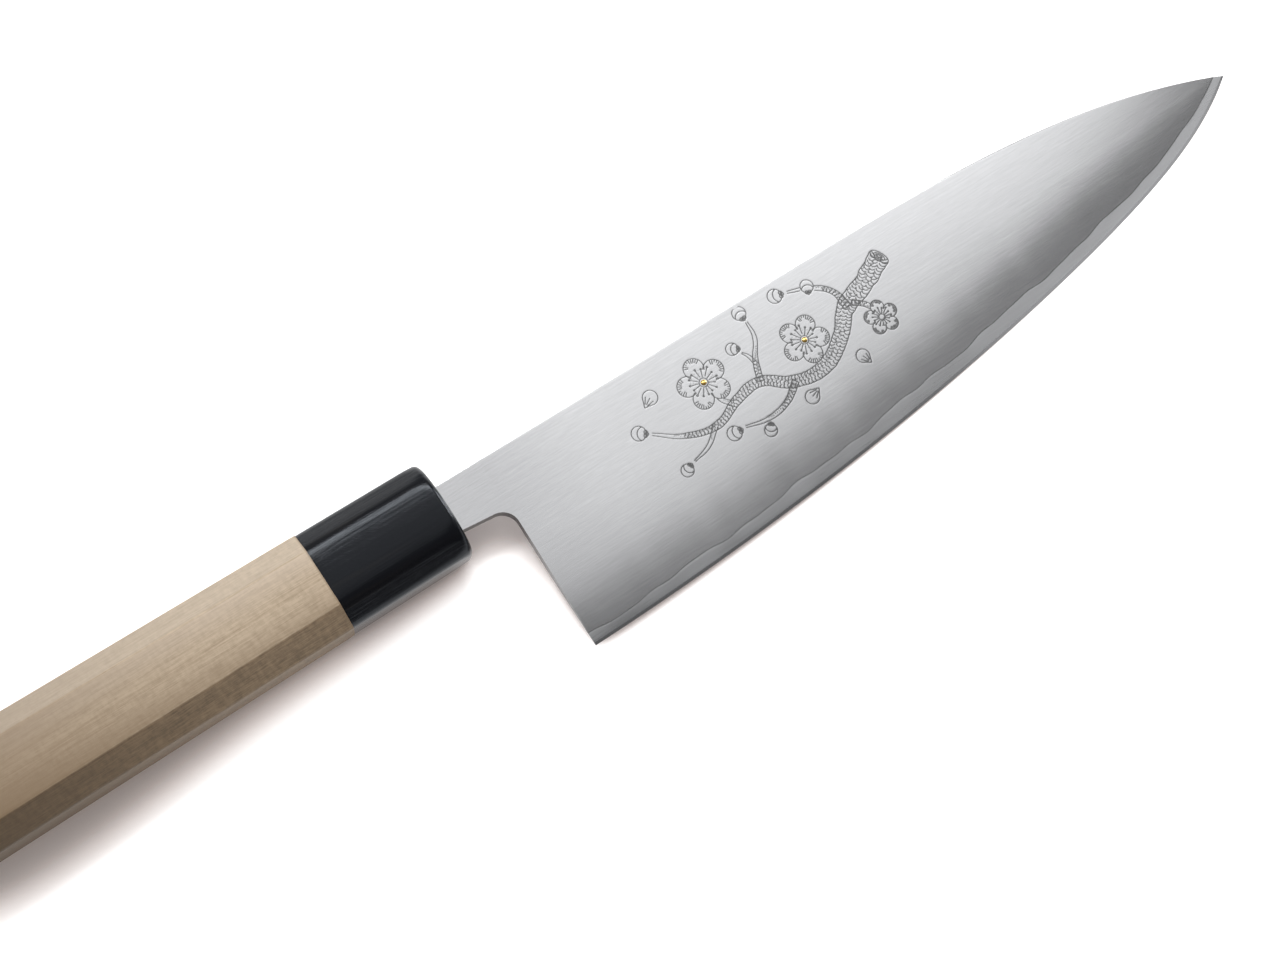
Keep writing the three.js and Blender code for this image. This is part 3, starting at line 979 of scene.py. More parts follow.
def core_steel(looks):
    """Bare hard steel: a little darker, finely ground, with painted shade on its cutting bevel and edge-on
    sides.
    """
    finish = Finish("core steel")
    lines = finish.grain("ground lines")
    shade = ((lines * 0.6 + finish.grain("core cloud") * 0.4).swing(1.5) + 0.5).clamped()
    colour = finish.mix(shade, toned(looks.core_colour, 0.86), looks.core_colour)
    # Painted shade: the cutting bevel and the edge-on sides are darkened towards the near-black side colour
    bevel = finish.mark("above_edge").step(*[CUTTING_BEVEL_WIDTH + reach for reach in BEVEL_EDGE])
    colour = finish.mix(bevel * 0.22, colour, looks.side_shade_colour)
    colour = finish.mix(shaded_sides(finish) * SIDE_COVER, colour, looks.side_shade_colour)
    roughness = 0.3 + shade.swing(0.14) - bevel * 0.08
    normal = finish.bump(lines, FINE_DEPTH, 0.02)
    return finish.close(base_color=colour, metallic=1.0, roughness=roughness, normal=normal)


def gold_finish(looks):
    """Hammered gold of the blossoms' hearts."""
    finish = Finish("inlay gold")
    dents = finish.grain("gold dents")
    colour = finish.mix(dents, toned(looks.gold_colour, 0.7), looks.gold_colour)
    normal = finish.bump(dents, 0.00006, 0.4)
    return finish.close(base_color=colour, metallic=1.0, roughness=0.18 + dents * 0.2, normal=normal)


def horn_finish(looks):
    """Polished dark horn with faint warm streaks along the handle and fine polishing lines."""
    finish = Finish("polished horn")
    scratches = finish.grain("horn scratches")
    polish = finish.grain("horn polish")
    pale = finish.grain("horn veins").step(0.52, 0.78) * finish.grain("horn streaks").step(0.35, 0.75)
    colour = finish.mix(pale.least(1.0), looks.horn_colour, looks.horn_streak)
    roughness = 0.12 + scratches * 0.14 + polish * 0.06
    normal = finish.bump(polish * 0.4 + scratches, 0.00005, 0.8)
    return finish.close(base_color=colour, roughness=roughness, ior=HORN_IOR, specular_tint=HORN_SHEEN,
                        normal=normal)


def wood_finish(looks):
    """Bare pale wood: bands, thin growth lines, fibres and silk; painted shade towards the butt, on the lower
    facets and the edge-side halves, painted light and a greyer painted sheen towards the spine side.
    """
    finish = Finish("pale handle wood")
    bands = finish.grain("wood bands")
    fibres = finish.grain("wood fibres")
    silk = finish.grain("wood silk")
    strands = finish.grain("wood strands")
    ridges = (1.0 - abs(finish.grain("wood growth") - 0.5) * 18.0).most(0.0) ** 1.5
    tone = (bands.swing(0.7) + strands.swing(0.8) + fibres.swing(2.9) + silk.swing(1.5) + 0.55).clamped()
    colour = finish.mix(tone, looks.wood_dark, looks.wood_light)
    colour = finish.mix(ridges * bands.step(0.3, 0.7, 0.35, 1.0) * 0.3, colour, looks.wood_line_and_shade)

    along, across, _ = finish.place.axes()
    across = across - float(ORIGIN[1])
    # Painted shade: the handle darkens towards the butt
    butt_shade = along.step(*frame_run(BUTT_SHADE_RUN), 0.9, 0.0)
    _, facing, _ = finish.facing("Normal")
    # Painted light and shade across the broad facets: paler on the spine-side half, darker on the edge-side
    # half
    level = abs(facing).step(0.35, 0.15)
    colour = finish.mix(level * across.step(0.0, BROAD_HALF) * 0.4, colour, looks.wood_painted_light)
    colour = finish.mix(butt_shade, colour, looks.wood_line_and_shade)
    darker = across.step(0.0, -BROAD_HALF) * (0.36 + butt_shade * 0.35)
    colour = finish.mix(level * darker, colour, looks.wood_line_and_shade)

    # Painted shade: the lower facets and the edge-side flat are darkened, more so towards the butt
    lower = facing.step(-0.25, -0.55)
    side = facing.step(-0.75, -0.95)
    shaded = finish.mix(tone, toned(looks.wood_line_and_shade, 0.6), toned(looks.wood_line_and_shade, 1.4))
    colour = finish.mix(lower * 0.78 + side * 0.15, colour, shaded)
    colour = finish.mix(lower * butt_shade + side * 0.2, colour, toned(looks.wood_line_and_shade, 0.5))
    # Painted sheen: a greyer tone on the facets that face the spine side
    colour = finish.mix(facing.step(0.3, 0.6) * 0.35, colour, looks.wood_painted_sheen)
    joint = along.step(*frame_run(JOINT_RUN))
    colour = finish.mix(joint * 0.5, colour, looks.wood_line_and_shade)

    roughness = 0.52 + fibres.swing(0.2) + ridges * 0.08
    height = fibres * 0.6 + strands * 0.25 + silk * 0.15 - ridges * 0.2
    normal = finish.bump(height, 0.00006, 0.35)
    return finish.close(base_color=colour, roughness=roughness, normal=normal)


def putty_finish(name, dark, light, roughness):
    """Set resin or wax: blotchy and matte."""
    finish = Finish(name)
    blotches = finish.grain("putty blotches")
    colour = finish.mix(blotches, dark, light)
    normal = finish.bump(blotches, 0.0001, 0.4)
    return finish.close(base_color=colour, roughness=roughness + blotches.swing(0.2), normal=normal)


def turned(tree, angle):
    """An instance rotation about z."""
    return tree.vector(z=angle)


def ringed(tree, count, part, radius, seed, low=1.0, high=1.0):
    """A part repeated round a circle and turned outwards, each with its own scale."""
    spots = tree.add("GeometryNodeMeshCircle", {}, {"Vertices": count, "Radius": radius})
    angle = tree.add("GeometryNodeInputIndex") * (2 * math.pi / count)
    return tree.copies(spots, part, Rotation=turned(tree, angle), Scale=tree.chance(low, high, seed))


def arc_stroke(tree, radius, half_angle, points, centre=0.0):
    """An arc that opens backwards, around a centre on x."""
    values = {"Resolution": points, "Radius": radius, "Start Angle": math.radians(-half_angle),
              "Sweep Angle": math.radians(2 * half_angle)}
    curve = tree.add("GeometryNodeCurveArc", {"mode": "RADIUS"}, values)
    return tree.moved(curve, Translation=(centre, 0.0, 0.0))


def line_stroke(tree, start, end):
    """A straight stroke between two points x, y."""
    values = {"Start": (*start, 0.0), "End": (*end, 0.0)}
    return tree.add("GeometryNodeCurvePrimitiveLine", {}, values)


def swung(tree, part, degrees):
    """A part turned about z."""
    return tree.moved(part, Rotation=(0.0, 0.0, math.radians(degrees)))


def blossom_strokes(tree):
    """An open blossom of radius 1: petals with rim lines, stamens with anthers, and a ring at its heart."""
    rim_angle = 62.0
    rim_lines = 9
    rim = arc_stroke(tree, 0.37, rim_angle, rim_lines)
    index = tree.add("GeometryNodeInputIndex")
    angle = (index * (2 * rim_angle / (rim_lines - 1)) - rim_angle) * math.radians(1.0)
    vein = line_stroke(tree, (-0.13, 0.0), (-0.02, 0.0))
    veins = tree.copies(rim, vein, Rotation=turned(tree, angle), Scale=tree.chance(0.4, 1.3, VEIN_SEED))
    petal = tree.join(arc_stroke(tree, PETAL_RADIUS, 128.0, 28), veins)
    petals = ringed(tree, PETALS, petal, PETAL_RING, RING_SEED)
    anther = arc_stroke(tree, 0.03, 180.0, 8, 0.5)
    stamen = tree.join(line_stroke(tree, (0.2, 0.0), (0.47, 0.0)), anther)
    stamens = ringed(tree, STAMENS, stamen, 0.02, STAMEN_SEED, 0.75, 1.15)
    heart = arc_stroke(tree, 0.165, 180.0, 24)
    return tree.join(petals, stamens, heart)


def bud_strokes(tree):
    """A closed bud of radius 1: two petals folded over a third, on three round sepals."""
    round_bud = arc_stroke(tree, BUD_RADIUS, 180.0, 28, 0.62)
    folds = [swung(tree, arc_stroke(tree, 0.75, 44.0, 10, 0.05), turn) for turn in (24.0, -24.0)]
    sepals = [swung(tree, arc_stroke(tree, 0.2, 180.0, 10, -0.22), turn) for turn in (62.0, 0.0, -62.0)]
    return tree.join(round_bud, *folds, *sepals)


def petal_strokes(tree):
    """A loose petal of radius 1: a round rim that narrows to its foot, with three veins."""
    radius = 0.78
    centre = 0.22
    half_angle = 140.0
    rim = arc_stroke(tree, radius, half_angle, 24, centre)
    side_x = centre + radius * math.cos(math.radians(half_angle))
    side_y = radius * math.sin(math.radians(half_angle))
    flanks = [line_stroke(tree, (side_x, sign * side_y), (-1.0, 0.0)) for sign in (1.0, -1.0)]
    veins = []
    for degrees in (-24.0, 0.0, 24.0):
        vein = swung(tree, line_stroke(tree, (0.35, 0.0), (1.1, 0.0)), degrees)
        veins.append(tree.moved(vein, Translation=(-0.95, 0.0, 0.0)))
    return tree.join(rim, *flanks, *veins)


def sawn_strokes(tree):
    """The sawn end of the branch, with half width 1: its rim and two growth rings, seen from the side."""
    rings = tree.join(*[arc_stroke(tree, radius, 180.0, 24) for radius in (1.0, 0.62, 0.28)])
    return tree.moved(rings, Scale=(0.42, 1.0, 1.0))


def stem_strokes(tree, stems, half):
    """The stems' wavering sides and three lanes of curved bark strokes between them."""
    ahead_x, ahead_y, _ = tree.add("GeometryNodeInputTangent").axes()
    beside = tree.vector(ahead_y * -1.0, ahead_x)
    position = tree.add("GeometryNodeInputPosition")
    values = {"Vector": position, "Scale": KNOT_SCALE, "Detail": KNOT_DETAIL}
    width = half * (0.7 + tree.add("ShaderNodeTexNoise", {}, values) * 0.6)
    by_length = {"mode": "LENGTH"}
    outline = tree.add("GeometryNodeResampleCurve", by_length, {"Curve": stems, "Length": SIDE_STEP})
    strokes = [tree.put(outline, offset=beside.scaled(width * sign)) for sign in (1.0, -1.0)]
    for lane, (across, pace) in enumerate(BARK_LANES):
        values = {"Curve": stems, "Length": tree.given("Bark_step") * pace}
        bark = tree.add("GeometryNodeResampleCurve", by_length, values)
        bark = tree.put(bark, offset=beside.scaled(half * (tree.chance(*BARK_SHIFT, lane) + across)))
        angle = ahead_y.math("ARCTAN2", ahead_y, ahead_x) + tree.chance(*BARK_TURN, lane + BARK_TURN_SEED)
        size = half * tree.chance(*BARK_SIZE, lane + BARK_SIZE_SEED)
        stroke = arc_stroke(tree, 1.0, BARK_HALF_ANGLE, 9, -1.0)
        strokes.append(tree.copies(bark, stroke, Selection=half > BARK_LEAST, Rotation=turned(tree, angle),
                                   Scale=size))
    return strokes


def stem_dots(tree, stems, half, shield):
    """Punch marks down the shaded side of the stems, clear of the flowers."""
    dots = []
    for lane in range(PUNCH_LANES):
        values = {"Curve": stems, "Length": tree.given("Punch_gap") * (1.0 + PUNCH_PACE * lane)}
        row = tree.add("GeometryNodeCurveToPoints", {"mode": "LENGTH"}, values)
        row_x, row_y, _ = row.out("Tangent").axes()
        beside = tree.vector(row_y * -1.0, row_x)
        shift = half * tree.chance(*PUNCH_SHIFT, lane + PUNCH_SHIFT_SEED)
        row = tree.put(row, offset=beside.scaled(shift))
        hidden = tree.distance("FACES", shield) < DOT_CLEARANCE
        dots.append(tree.without(row, hidden.most(half < PUNCH_LEAST)))
    return dots


def sprig_tree():
    """The engraver's pattern: edges for strokes and loose points for punch marks, flat on the ground."""
    tree = Shape("blossoming sprig", Geometry="geometry", Stems="object", Bark_step="size", Punch_gap="size")
    spots = tree.given("Geometry")

    def set_out(kind, part):
        chosen = abs(tree.named("kind") - kind) < 0.5
        return tree.realized(tree.copies(spots, part, Selection=chosen, Scale=tree.named("size"),
                                         Rotation=turned(tree, tree.named("turn"))))

    def edges_of(geometry):
        return tree.add("GeometryNodeCurveToMesh", {}, {"Curve": tree.realized(geometry)})

    petal_discs = ringed(tree, PETALS, tree.disc(24, PETAL_RADIUS), PETAL_RING, RING_SEED)
    bud_disc = tree.moved(tree.disc(20, BUD_RADIUS), Translation=(0.5, 0.0, 0.0))
    shield = tree.join(set_out(BLOSSOM, petal_discs), set_out(BLOSSOM, tree.disc(24, 0.62)),
                       set_out(BUD, bud_disc))
    kinds = ((BLOSSOM, blossom_strokes), (BUD, bud_strokes), (LOOSE_PETAL, petal_strokes),
             (SAWN_END, sawn_strokes))
    flowers = [edges_of(set_out(kind, strokes(tree))) for kind, strokes in kinds]

    stems = tree.add("GeometryNodeObjectInfo", {}, {"Object": tree.given("Stems")}).out("Geometry")
    half = tree.add("GeometryNodeInputRadius")
    wooden = tree.join(*[edges_of(part) for part in stem_strokes(tree, stems, half)])
    wooden = tree.without(wooden, tree.distance("FACES", shield) < STROKE_CLEARANCE)

    shaded = set_out(BLOSSOM, tree.disc(32, 0.5))
    values = {"Mesh": shaded, "Distance Min": tree.given("Punch_gap"), "Density Max": PUNCH_DENSITY,
              "Seed": PUNCH_SEED}
    heart = tree.add("GeometryNodeDistributePointsOnFaces", {"distribute_method": "POISSON"}, values)
    dots = tree.join(heart, *stem_dots(tree, stems, half, shield))
    dots = tree.add("GeometryNodePointsToVertices", {}, {"Points": dots})
    return tree.close(tree.join(wooden, *flowers, tree.keep(dots, "punched", 1.0)))


def stem_curves():
    """The branch and its twigs as curves on the ground, with their half widths."""
    curve = bpy.data.curves.new("sprig stems", "CURVE")
    curve.dimensions = "3D"
    for stem in SPRIG_STEMS:
        spline = curve.splines.new("BEZIER")
        spline.bezier_points.add(len(stem) - 1)
        for point, (x, y, half) in zip(spline.bezier_points, stem):
            spot = placed((x, y, 0))
            point.co = (spot[0], spot[1], 0.0)
            point.handle_left_type = "AUTO"
            point.handle_right_type = "AUTO"
            point.radius = half * MM
    return curve


def flower_spots():
    """The places of the flowers on the ground, with their kinds, sizes and turns."""
    kinds, x, y, sizes, turns = np.array(SPRIG_SPOTS).T
    places = placed(np.stack([x, y, np.zeros_like(x)], axis=-1))
    places[:, 2] = 0.0
    spots = bpy.data.meshes.new("sprig spots")
    spots.from_pydata(places.tolist(), [], [])
    store(spots, "kind", kinds)
    store(spots, "size", sizes * MM)
    store(spots, "turn", np.radians(turns))
    return spots


def engraving_tree():
    """Cuts the pattern into a face: grooves under its edges, small pits under its loose points."""
    tree = Shape("engraving", Geometry="geometry", Pattern="object", Half_width="size", Depth="size",
                 Pit_radius="size", Pit_depth="size", Face_height="size")
    pattern = tree.add("GeometryNodeObjectInfo", {}, {"Object": tree.given("Pattern")}).out("Geometry")
    values = {"Geometry": pattern, "Selection": tree.named("punched") > 0.5}
    pits = tree.add("GeometryNodeSeparateGeometry", {"domain": "POINT"}, values)
    x, y, z = tree.add("GeometryNodeInputPosition").axes()
    flat = {"Sample Position": tree.vector(x, y)}
    stroke = tree.distance("EDGES", pits.out("Inverted"), **flat)
    pit = tree.distance("POINTS", pits, **flat)
    outside = z > tree.given("Face_height")
    groove = (1.0 - stroke / tree.given("Half_width")).most(0.0) ** GROOVE_POWER * tree.given("Depth")
    dent = (1.0 - (pit / tree.given("Pit_radius")) ** 2.0).most(0.0) * tree.given("Pit_depth")
    cut = tree.put(tree.given("Geometry"), offset=tree.vector(z=groove.most(dent) * outside * -1.0))
    for name, distance in (("stroke", stroke), ("punch", pit)):
        millimetres = distance / MM + (1.0 - outside) * FAR_AWAY
        cut = tree.keep(cut, name, millimetres.least(FAR_AWAY))
    return tree.close(cut)


def stud_tree():
    """A domed stud, set out at the two ends of a line."""
    tree = Shape("gold studs", First="place", Second="place", Radius="size", Shank="size", Crown="size",
                 Material="material")
    radius = tree.given("Radius")
    shank = tree.given("Shank")
    values = {**STUD_FINENESS, "Radius": radius, "Depth": shank}
    stud = tree.add("GeometryNodeMeshCylinder", {"fill_type": "TRIANGLE_FAN"}, values)
    x, y, z = tree.add("GeometryNodeInputPosition").axes()
    reach = (x * x + y * y) / (radius * radius)
    dome = (1.0 - reach).most(0.0) * tree.given("Crown") * (z > 0.0)
    stud = tree.put(stud, offset=tree.vector(z=dome - shank * 0.5))
    stud = tree.add("GeometryNodeSetShadeSmooth", {}, {"Geometry": stud})
    values = {"Count": 2, "Start Location": tree.given("First"), "Offset": tree.given("Second")}
    spots = tree.add("GeometryNodeMeshLine", {"mode": "END_POINTS"}, values)
    return tree.close(tree.copies(spots, stud), tree.given("Material"))


def octagon_bar(tree, stations, fine_front):
    """An octagonal bar along x whose facets keep their size while it tapers, with eased ridges and ends."""
    given = tree.given
    values = {"Vertices": OCTAGON_SIDES, "Side Segments": stations, "Fill Segments": 1, "Radius": 1.0,
              "Depth": 1.0}
    bar = tree.add("GeometryNodeMeshCylinder", {"fill_type": "NGON"}, values)
    across_y, across_z, station = tree.add("GeometryNodeInputPosition").axes()
    station = (station + 0.5).clamped()
    spread = 1.0 - (1.0 - station) ** STATION_POWER if fine_front else station ** STATION_POWER
    back = given("Back_x")
    front = given("Front_x")
    x = back + (front - back) * spread
    share = (x - given("Taper_back_x")) / (given("Taper_front_x") - given("Taper_back_x"))

    def tapered(measure):
        """Half of a measure that goes evenly from the butt to the ferrule's front."""
        butt = given(f"Back_{measure}")
        return (butt + (given(f"Front_{measure}") - butt) * share) * 0.5

    half_height = tapered("height")
    half_width = tapered("width")
    up = abs(across_y).most(LEAST_REACH)
    out = abs(across_z).most(LEAST_REACH)
    run = given("Facet_run")
    rise = given("Facet_rise")
    slant = (run * half_height + rise * (half_width - run)) / (run * up + rise * out)
    corner = (1.0 - (front - x) / given("Corner_run")).most(0.0)
    ease = given("Ridge_ease") + corner * corner * given("Corner_ease")
    crown = given("Facet_crown")
    across = half_width * (up / out).least(1.0)
    upright = half_height * (out / up).least(1.0)
    radius = ((half_height - crown * upright * upright) / up).eased_least(slant, ease)
    radius = radius.eased_least((half_width - crown * across * across) / out, ease)
    nose = given("Nose")
    ahead = (nose - (front - x)).most(0.0)
    rounding = nose - (nose * nose - ahead * ahead).most(0.0) ** 0.5
    chamfer = (given("Chamfer") - (x - back)).most(0.0)
    radius = radius - rounding - chamfer
    return tree.put(bar, position=tree.vector(x, across_y * radius + given("Axis_y"),
                                              across_z * radius + given("Axis_z")))


def inner_block(tree, low, high, height, width):
    """A bar on the handle's axis between two places in millimetres, round where it is given no width."""
    start = frame_x(low)
    end = frame_x(high)
    if width is None:
        values = {"Vertices": BORE_SIDES, "Radius": height * MM / 2, "Depth": end - start}
        part = tree.add("GeometryNodeMeshCylinder", {}, values)
        turn = (0.0, math.pi / 2, 0.0)
    else:
        part = tree.add("GeometryNodeMeshCube", {}, {"Size": (end - start, height * MM, width * MM)})
        turn = UNMOVED
    centre = tree.vector((start + end) / 2, tree.given("Axis_y"), tree.given("Axis_z"))
    return tree.moved(part, Translation=centre, Rotation=turn)


def octagon_tree(name, stations, fine_front, cuts, adds):
    """An octagonal bar with inner blocks added to it and others cut out of it."""
    tree = Shape(name, **dict.fromkeys(OCTAGON_INPUTS, "size"), Material="material")
    bar = octagon_bar(tree, stations, fine_front)
    if adds:
        solids = [bar, *[inner_block(tree, *add) for add in adds]]
        settings = {"operation": "UNION", "solver": "EXACT"}
        bar = tree.add("GeometryNodeMeshBoolean", settings, {"Mesh 2": solids})
    holes = [inner_block(tree, *cut) for cut in cuts]
    settings = {"operation": "DIFFERENCE", "solver": "EXACT"}
    bar = tree.add("GeometryNodeMeshBoolean", settings, {"Mesh 1": bar, "Mesh 2": holes})
    return tree.close(bar, tree.given("Material"))


def octagon_mesh(tree, looks, material, back_x, front_x, **values):
    """Runs the octagon tree for one piece of the handle."""
    values.update(
        Back_x=frame_x(back_x), Front_x=frame_x(front_x), Back_height=looks.butt_height,
        Front_height=looks.front_height, Back_width=looks.butt_width, Front_width=looks.front_width,
        Facet_rise=looks.facet_rise, Facet_run=looks.facet_run, Corner_run=looks.corner_run,
        Axis_y=float(ORIGIN[1]), Axis_z=float(ORIGIN[2]), Taper_back_x=frame_x(-HANDLE_LENGTH),
        Taper_front_x=frame_x(0.0), Material=material,
    )
    mesh = run_tree(tree, bpy.data.meshes.new("bar"), **values)
    return smoothed(mesh, OCTAGON_SHARP)


def length(name, description, default):
    """A setting in metres."""
    return bpy.props.FloatProperty(name=name, description=description, default=default, unit="LENGTH",
                                   precision=5)


def number(name, description, default):
    """A setting without a unit."""
    return bpy.props.FloatProperty(name=name, description=description, default=default)


def tint(name, description, default):
    """A colour setting."""
    return bpy.props.FloatVectorProperty(name=name, description=description, default=default, size=3,
                                         subtype="COLOR", min=0.0, max=1.0)


class KnifeBladeLooks(bpy.types.PropertyGroup):
    """Finishes of the blade and its engraving."""

    cladding_colour: tint("Cladding", "Brushed outer layers of the blade", (0.74, 0.745, 0.76))
    # Painted shade on the cladding towards the heel
    heel_shade_colour: tint("Heel shade", "Painted shade on the cladding towards the heel", (0.3, 0.3, 0.31))
    core_colour: tint("Core", "Bare hard steel along the cutting edge", (0.61, 0.615, 0.63))
    weld_colour: tint("Weld line", "Thin dark line where the layers meet", (0.2, 0.2, 0.2))
    # Near-black painted shade on the edge-on sides and the cutting bevel
    side_shade_colour: tint("Shaded sides", "Heel face, neck and spine, seen edge on", (0.035, 0.035, 0.037))
    engraved_colour: tint("Engraved lines", "Steel in the bottom of the cuts", (0.07, 0.07, 0.07))
    gold_colour: tint("Inlays", "Gold of the two inlaid studs", (0.92, 0.62, 0.2))
    brush_contrast: number("Brushing", "Contrast of the brushed lines", 1.9)
    heel_roughness: number("Heel roughness", "Roughness of the cladding at the heel", 0.215)
    tip_roughness: number("Tip roughness", "Roughness of the cladding at the tip", 0.15)
    stroke_width: length("Stroke width", "Width of an engraved line", 0.0003)
    stroke_depth: length("Stroke depth", "Depth of an engraved line", 0.00003)
    punch_width: length("Punch width", "Width of a punch mark", 0.00036)
    punch_depth: length("Punch depth", "Depth of a punch mark", 0.00002)
    bark_step: length("Bark step", "Distance between bark strokes along a branch", 0.00085)
    punch_gap: length("Punch gap", "Least distance between punch marks", 0.00052)


class KnifeHandleLooks(bpy.types.PropertyGroup):
    """Sizes and finishes of the ferrule and the handle."""

    front_height: length("Front height", "Height of the octagon at the ferrule's front", 0.02405)
    front_width: length("Front width", "Width of the octagon at the ferrule's front", 0.0193)
    butt_height: length("Butt height", "Height of the octagon at the butt", node_size("handle_body")[1])
    butt_width: length("Butt width", "Width of the octagon at the butt", node_size("handle_body")[2])
    facet_rise: length("Facet rise", "Height of a slanting facet", 0.0056)
    facet_run: length("Facet run", "Width of a slanting facet", 0.005)
    wood_ease: length("Wood ridges", "How softly two facets of the wood meet", 0.0005)
    horn_ease: length("Horn ridges", "How softly two facets of the horn meet", 0.0012)
    facet_crown: number("Wood crown", "How much a facet of the wood swells, per metre", 4.0)
    horn_crown: number("Horn crown", "How much a facet of the horn swells, per metre", 10.0)
    corner_run: length("Corner run", "How far from its front the ferrule's ridges grow softer", 0.005)
    corner_ease: length("Corner ease", "How much softer they are at the front", 0.0024)
    nose_radius: length("Nose", "Rounding of the ferrule's front", 0.0014)
    butt_chamfer: length("Butt chamfer", "Chamfer of the wood at the butt", 0.0014)
    seam_ease: length("Seam ease", "Chamfer where the wood meets the ferrule", 0.00006)
    horn_colour: tint("Horn", "Polished dark horn", (0.003, 0.0033, 0.005))
    horn_streak: tint("Horn streaks", "Paler streaks in the horn", (0.018, 0.015, 0.0125))
    wood_light: tint("Wood, light", "Paler fibres of the handle", (0.6, 0.475, 0.34))
    wood_dark: tint("Wood, dark", "Darker fibres of the handle", (0.43, 0.33, 0.225))
    # Also the colour of the painted shade on the wood
    wood_line_and_shade: tint("Wood, growth lines", "Thin brown lines, and the darker places", (0.24, 0.16, 0.09))
    # Painted light on the spine-side half of the broad facets
    wood_painted_light: tint("Wood, pale side", "Painted light on the spine-side half of the broad facets", (0.66, 0.55, 0.44))
    # Greyer painted sheen on the facets facing the spine side
    wood_painted_sheen: tint("Wood, upper facets", "Greyer painted sheen on the facets facing the spine side", (0.45, 0.405, 0.35))


class KnifeStageLooks(bpy.types.PropertyGroup):
    """Floor and light of the studio."""

    floor_colour: tint("Floor", "Colour of the plain floor", (0.75, 0.75, 0.75))
    glow_colour: tint("Shadow tint", "Colour of the floor's own light in the shadow", (1.0, 0.78, 0.7))
    floor_glow: number("Floor glow", "White added to the floor in view", 1.0)
    shadow_reach: length("Shadow reach", "How far from the knife the floor's own light is shaded", 0.04)
    ceiling_level: number("Ceiling", "Brightness overhead", 0.18)
    wall_level: number("Walls", "Brightness of the room's walls", 0.34)
    horizon_level: number("Horizon", "Brightness at the horizon", 1.0)
    softbox_level: number("Softboxes", "Brightness of the softboxes", 1.0)


class KNIFE_OT_core(bpy.types.Operator):
    """Builds the hard core of the blade, from the tang's end to the tip"""

    bl_idname = "knife.core"
    bl_label = "Blade core"

    def execute(self, context):
        mesh = steel_marks(core_mesh())
        dress("blade_core", mesh, ["core_steel"], core_steel(context.scene.knife_blade))
        return {"FINISHED"}


class KNIFE_OT_pattern(bpy.types.Operator):
    """Draws the blossoming sprig that is engraved on the right face"""

    bl_idname = "knife.pattern"
    bl_label = "Engraving pattern"

    def execute(self, context):
        looks = context.scene.knife_blade
        stems = new_object("sprig stems", stem_curves())
        values = {"Stems": stems, "Bark_step": looks.bark_step, "Punch_gap": looks.punch_gap}
        new_object("sprig pattern", run_tree(sprig_tree(), flower_spots(), **values))
        bpy.data.objects.remove(stems)
        return {"FINISHED"}


class KNIFE_OT_claddings(bpy.types.Operator):
    """Builds both claddings of the blade and cuts the pattern into the right one"""

    bl_idname = "knife.claddings"
    bl_label = "Claddings"

    def execute(self, context):
        looks = context.scene.knife_blade
        pattern = bpy.data.objects["sprig pattern"]
        plain = cladding_mesh(fine=True, flip=False)
        values = {"Pattern": pattern, "Half_width": looks.stroke_width / 2, "Depth": looks.stroke_depth,
                  "Pit_radius": looks.punch_width / 2, "Pit_depth": looks.punch_depth,
                  "Face_height": float(ORIGIN[2]) + (CORE_HALF + FACE_MARGIN) * MM}
        engraved = steel_marks(run_tree(engraving_tree(), plain, **values))
        bpy.data.objects.remove(pattern)
        dress("engraved_cladding", engraved, ["right_cladding"],
              cladding_steel(looks, engraved=True))
        left = steel_marks(cladding_mesh(fine=False, flip=True))
        dress("plain_cladding", left, ["left_cladding"],
              cladding_steel(looks, engraved=False))
        return {"FINISHED"}


class KNIFE_OT_studs(bpy.types.Operator):
    """Sets the two gold studs into the blossoms' hearts"""

    bl_idname = "knife.studs"
    bl_label = "Gold studs"

    def execute(self, context):
        places = []
        for node in ("gold_inlay_1", "gold_inlay_2"):
            low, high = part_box(node)
            middle = [(low[axis] + high[axis]) / 2 for axis in range(2)]
            face = flat_half((middle[0] - ORIGIN[0]) / MM) * MM + ORIGIN[2]
            places.append((middle[0], middle[1], face))
        size = node_size("gold_inlay_1")
        shank = places[0][2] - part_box("gold_inlay_1")[0][2]
        values = {"First": places[0], "Second": places[1], "Radius": size[0] / 2, "Shank": shank,
                  "Crown": size[2] - shank, "Material": gold_finish(context.scene.knife_blade)}
        mesh = run_tree(stud_tree(), bpy.data.meshes.new("studs"), **values)
        mesh.set_sharp_from_angle(angle=math.radians(STUD_SHARP))
        dress("gold_studs", mesh, ["gold_inlay_1", "gold_inlay_2"])
        return {"FINISHED"}


class KNIFE_OT_ferrule(bpy.types.Operator):
    """Builds the octagonal horn ferrule, bored for the tenon and slotted for the neck"""

    bl_idname = "knife.ferrule"
    bl_label = "Horn ferrule"

    def execute(self, context):
        looks = context.scene.knife_handle
        mouth = (TENON_FRONT_X - MOUTH_OVERRUN, MOUTH_OVERRUN, MOUTH_HEIGHT, MOUTH_WIDTH)
        tree = octagon_tree("octagonal ferrule", FERRULE_STATIONS, True, cuts=[TENON, mouth], adds=[])
        mesh = octagon_mesh(tree, looks, horn_finish(looks), -FERRULE_LENGTH, 0.0, Nose=looks.nose_radius,
                            Chamfer=looks.seam_ease, Facet_crown=looks.horn_crown, Ridge_ease=looks.horn_ease,
                            Corner_ease=looks.corner_ease)
        dress("ferrule_horn", mesh, ["horn_ferrule"])
        return {"FINISHED"}


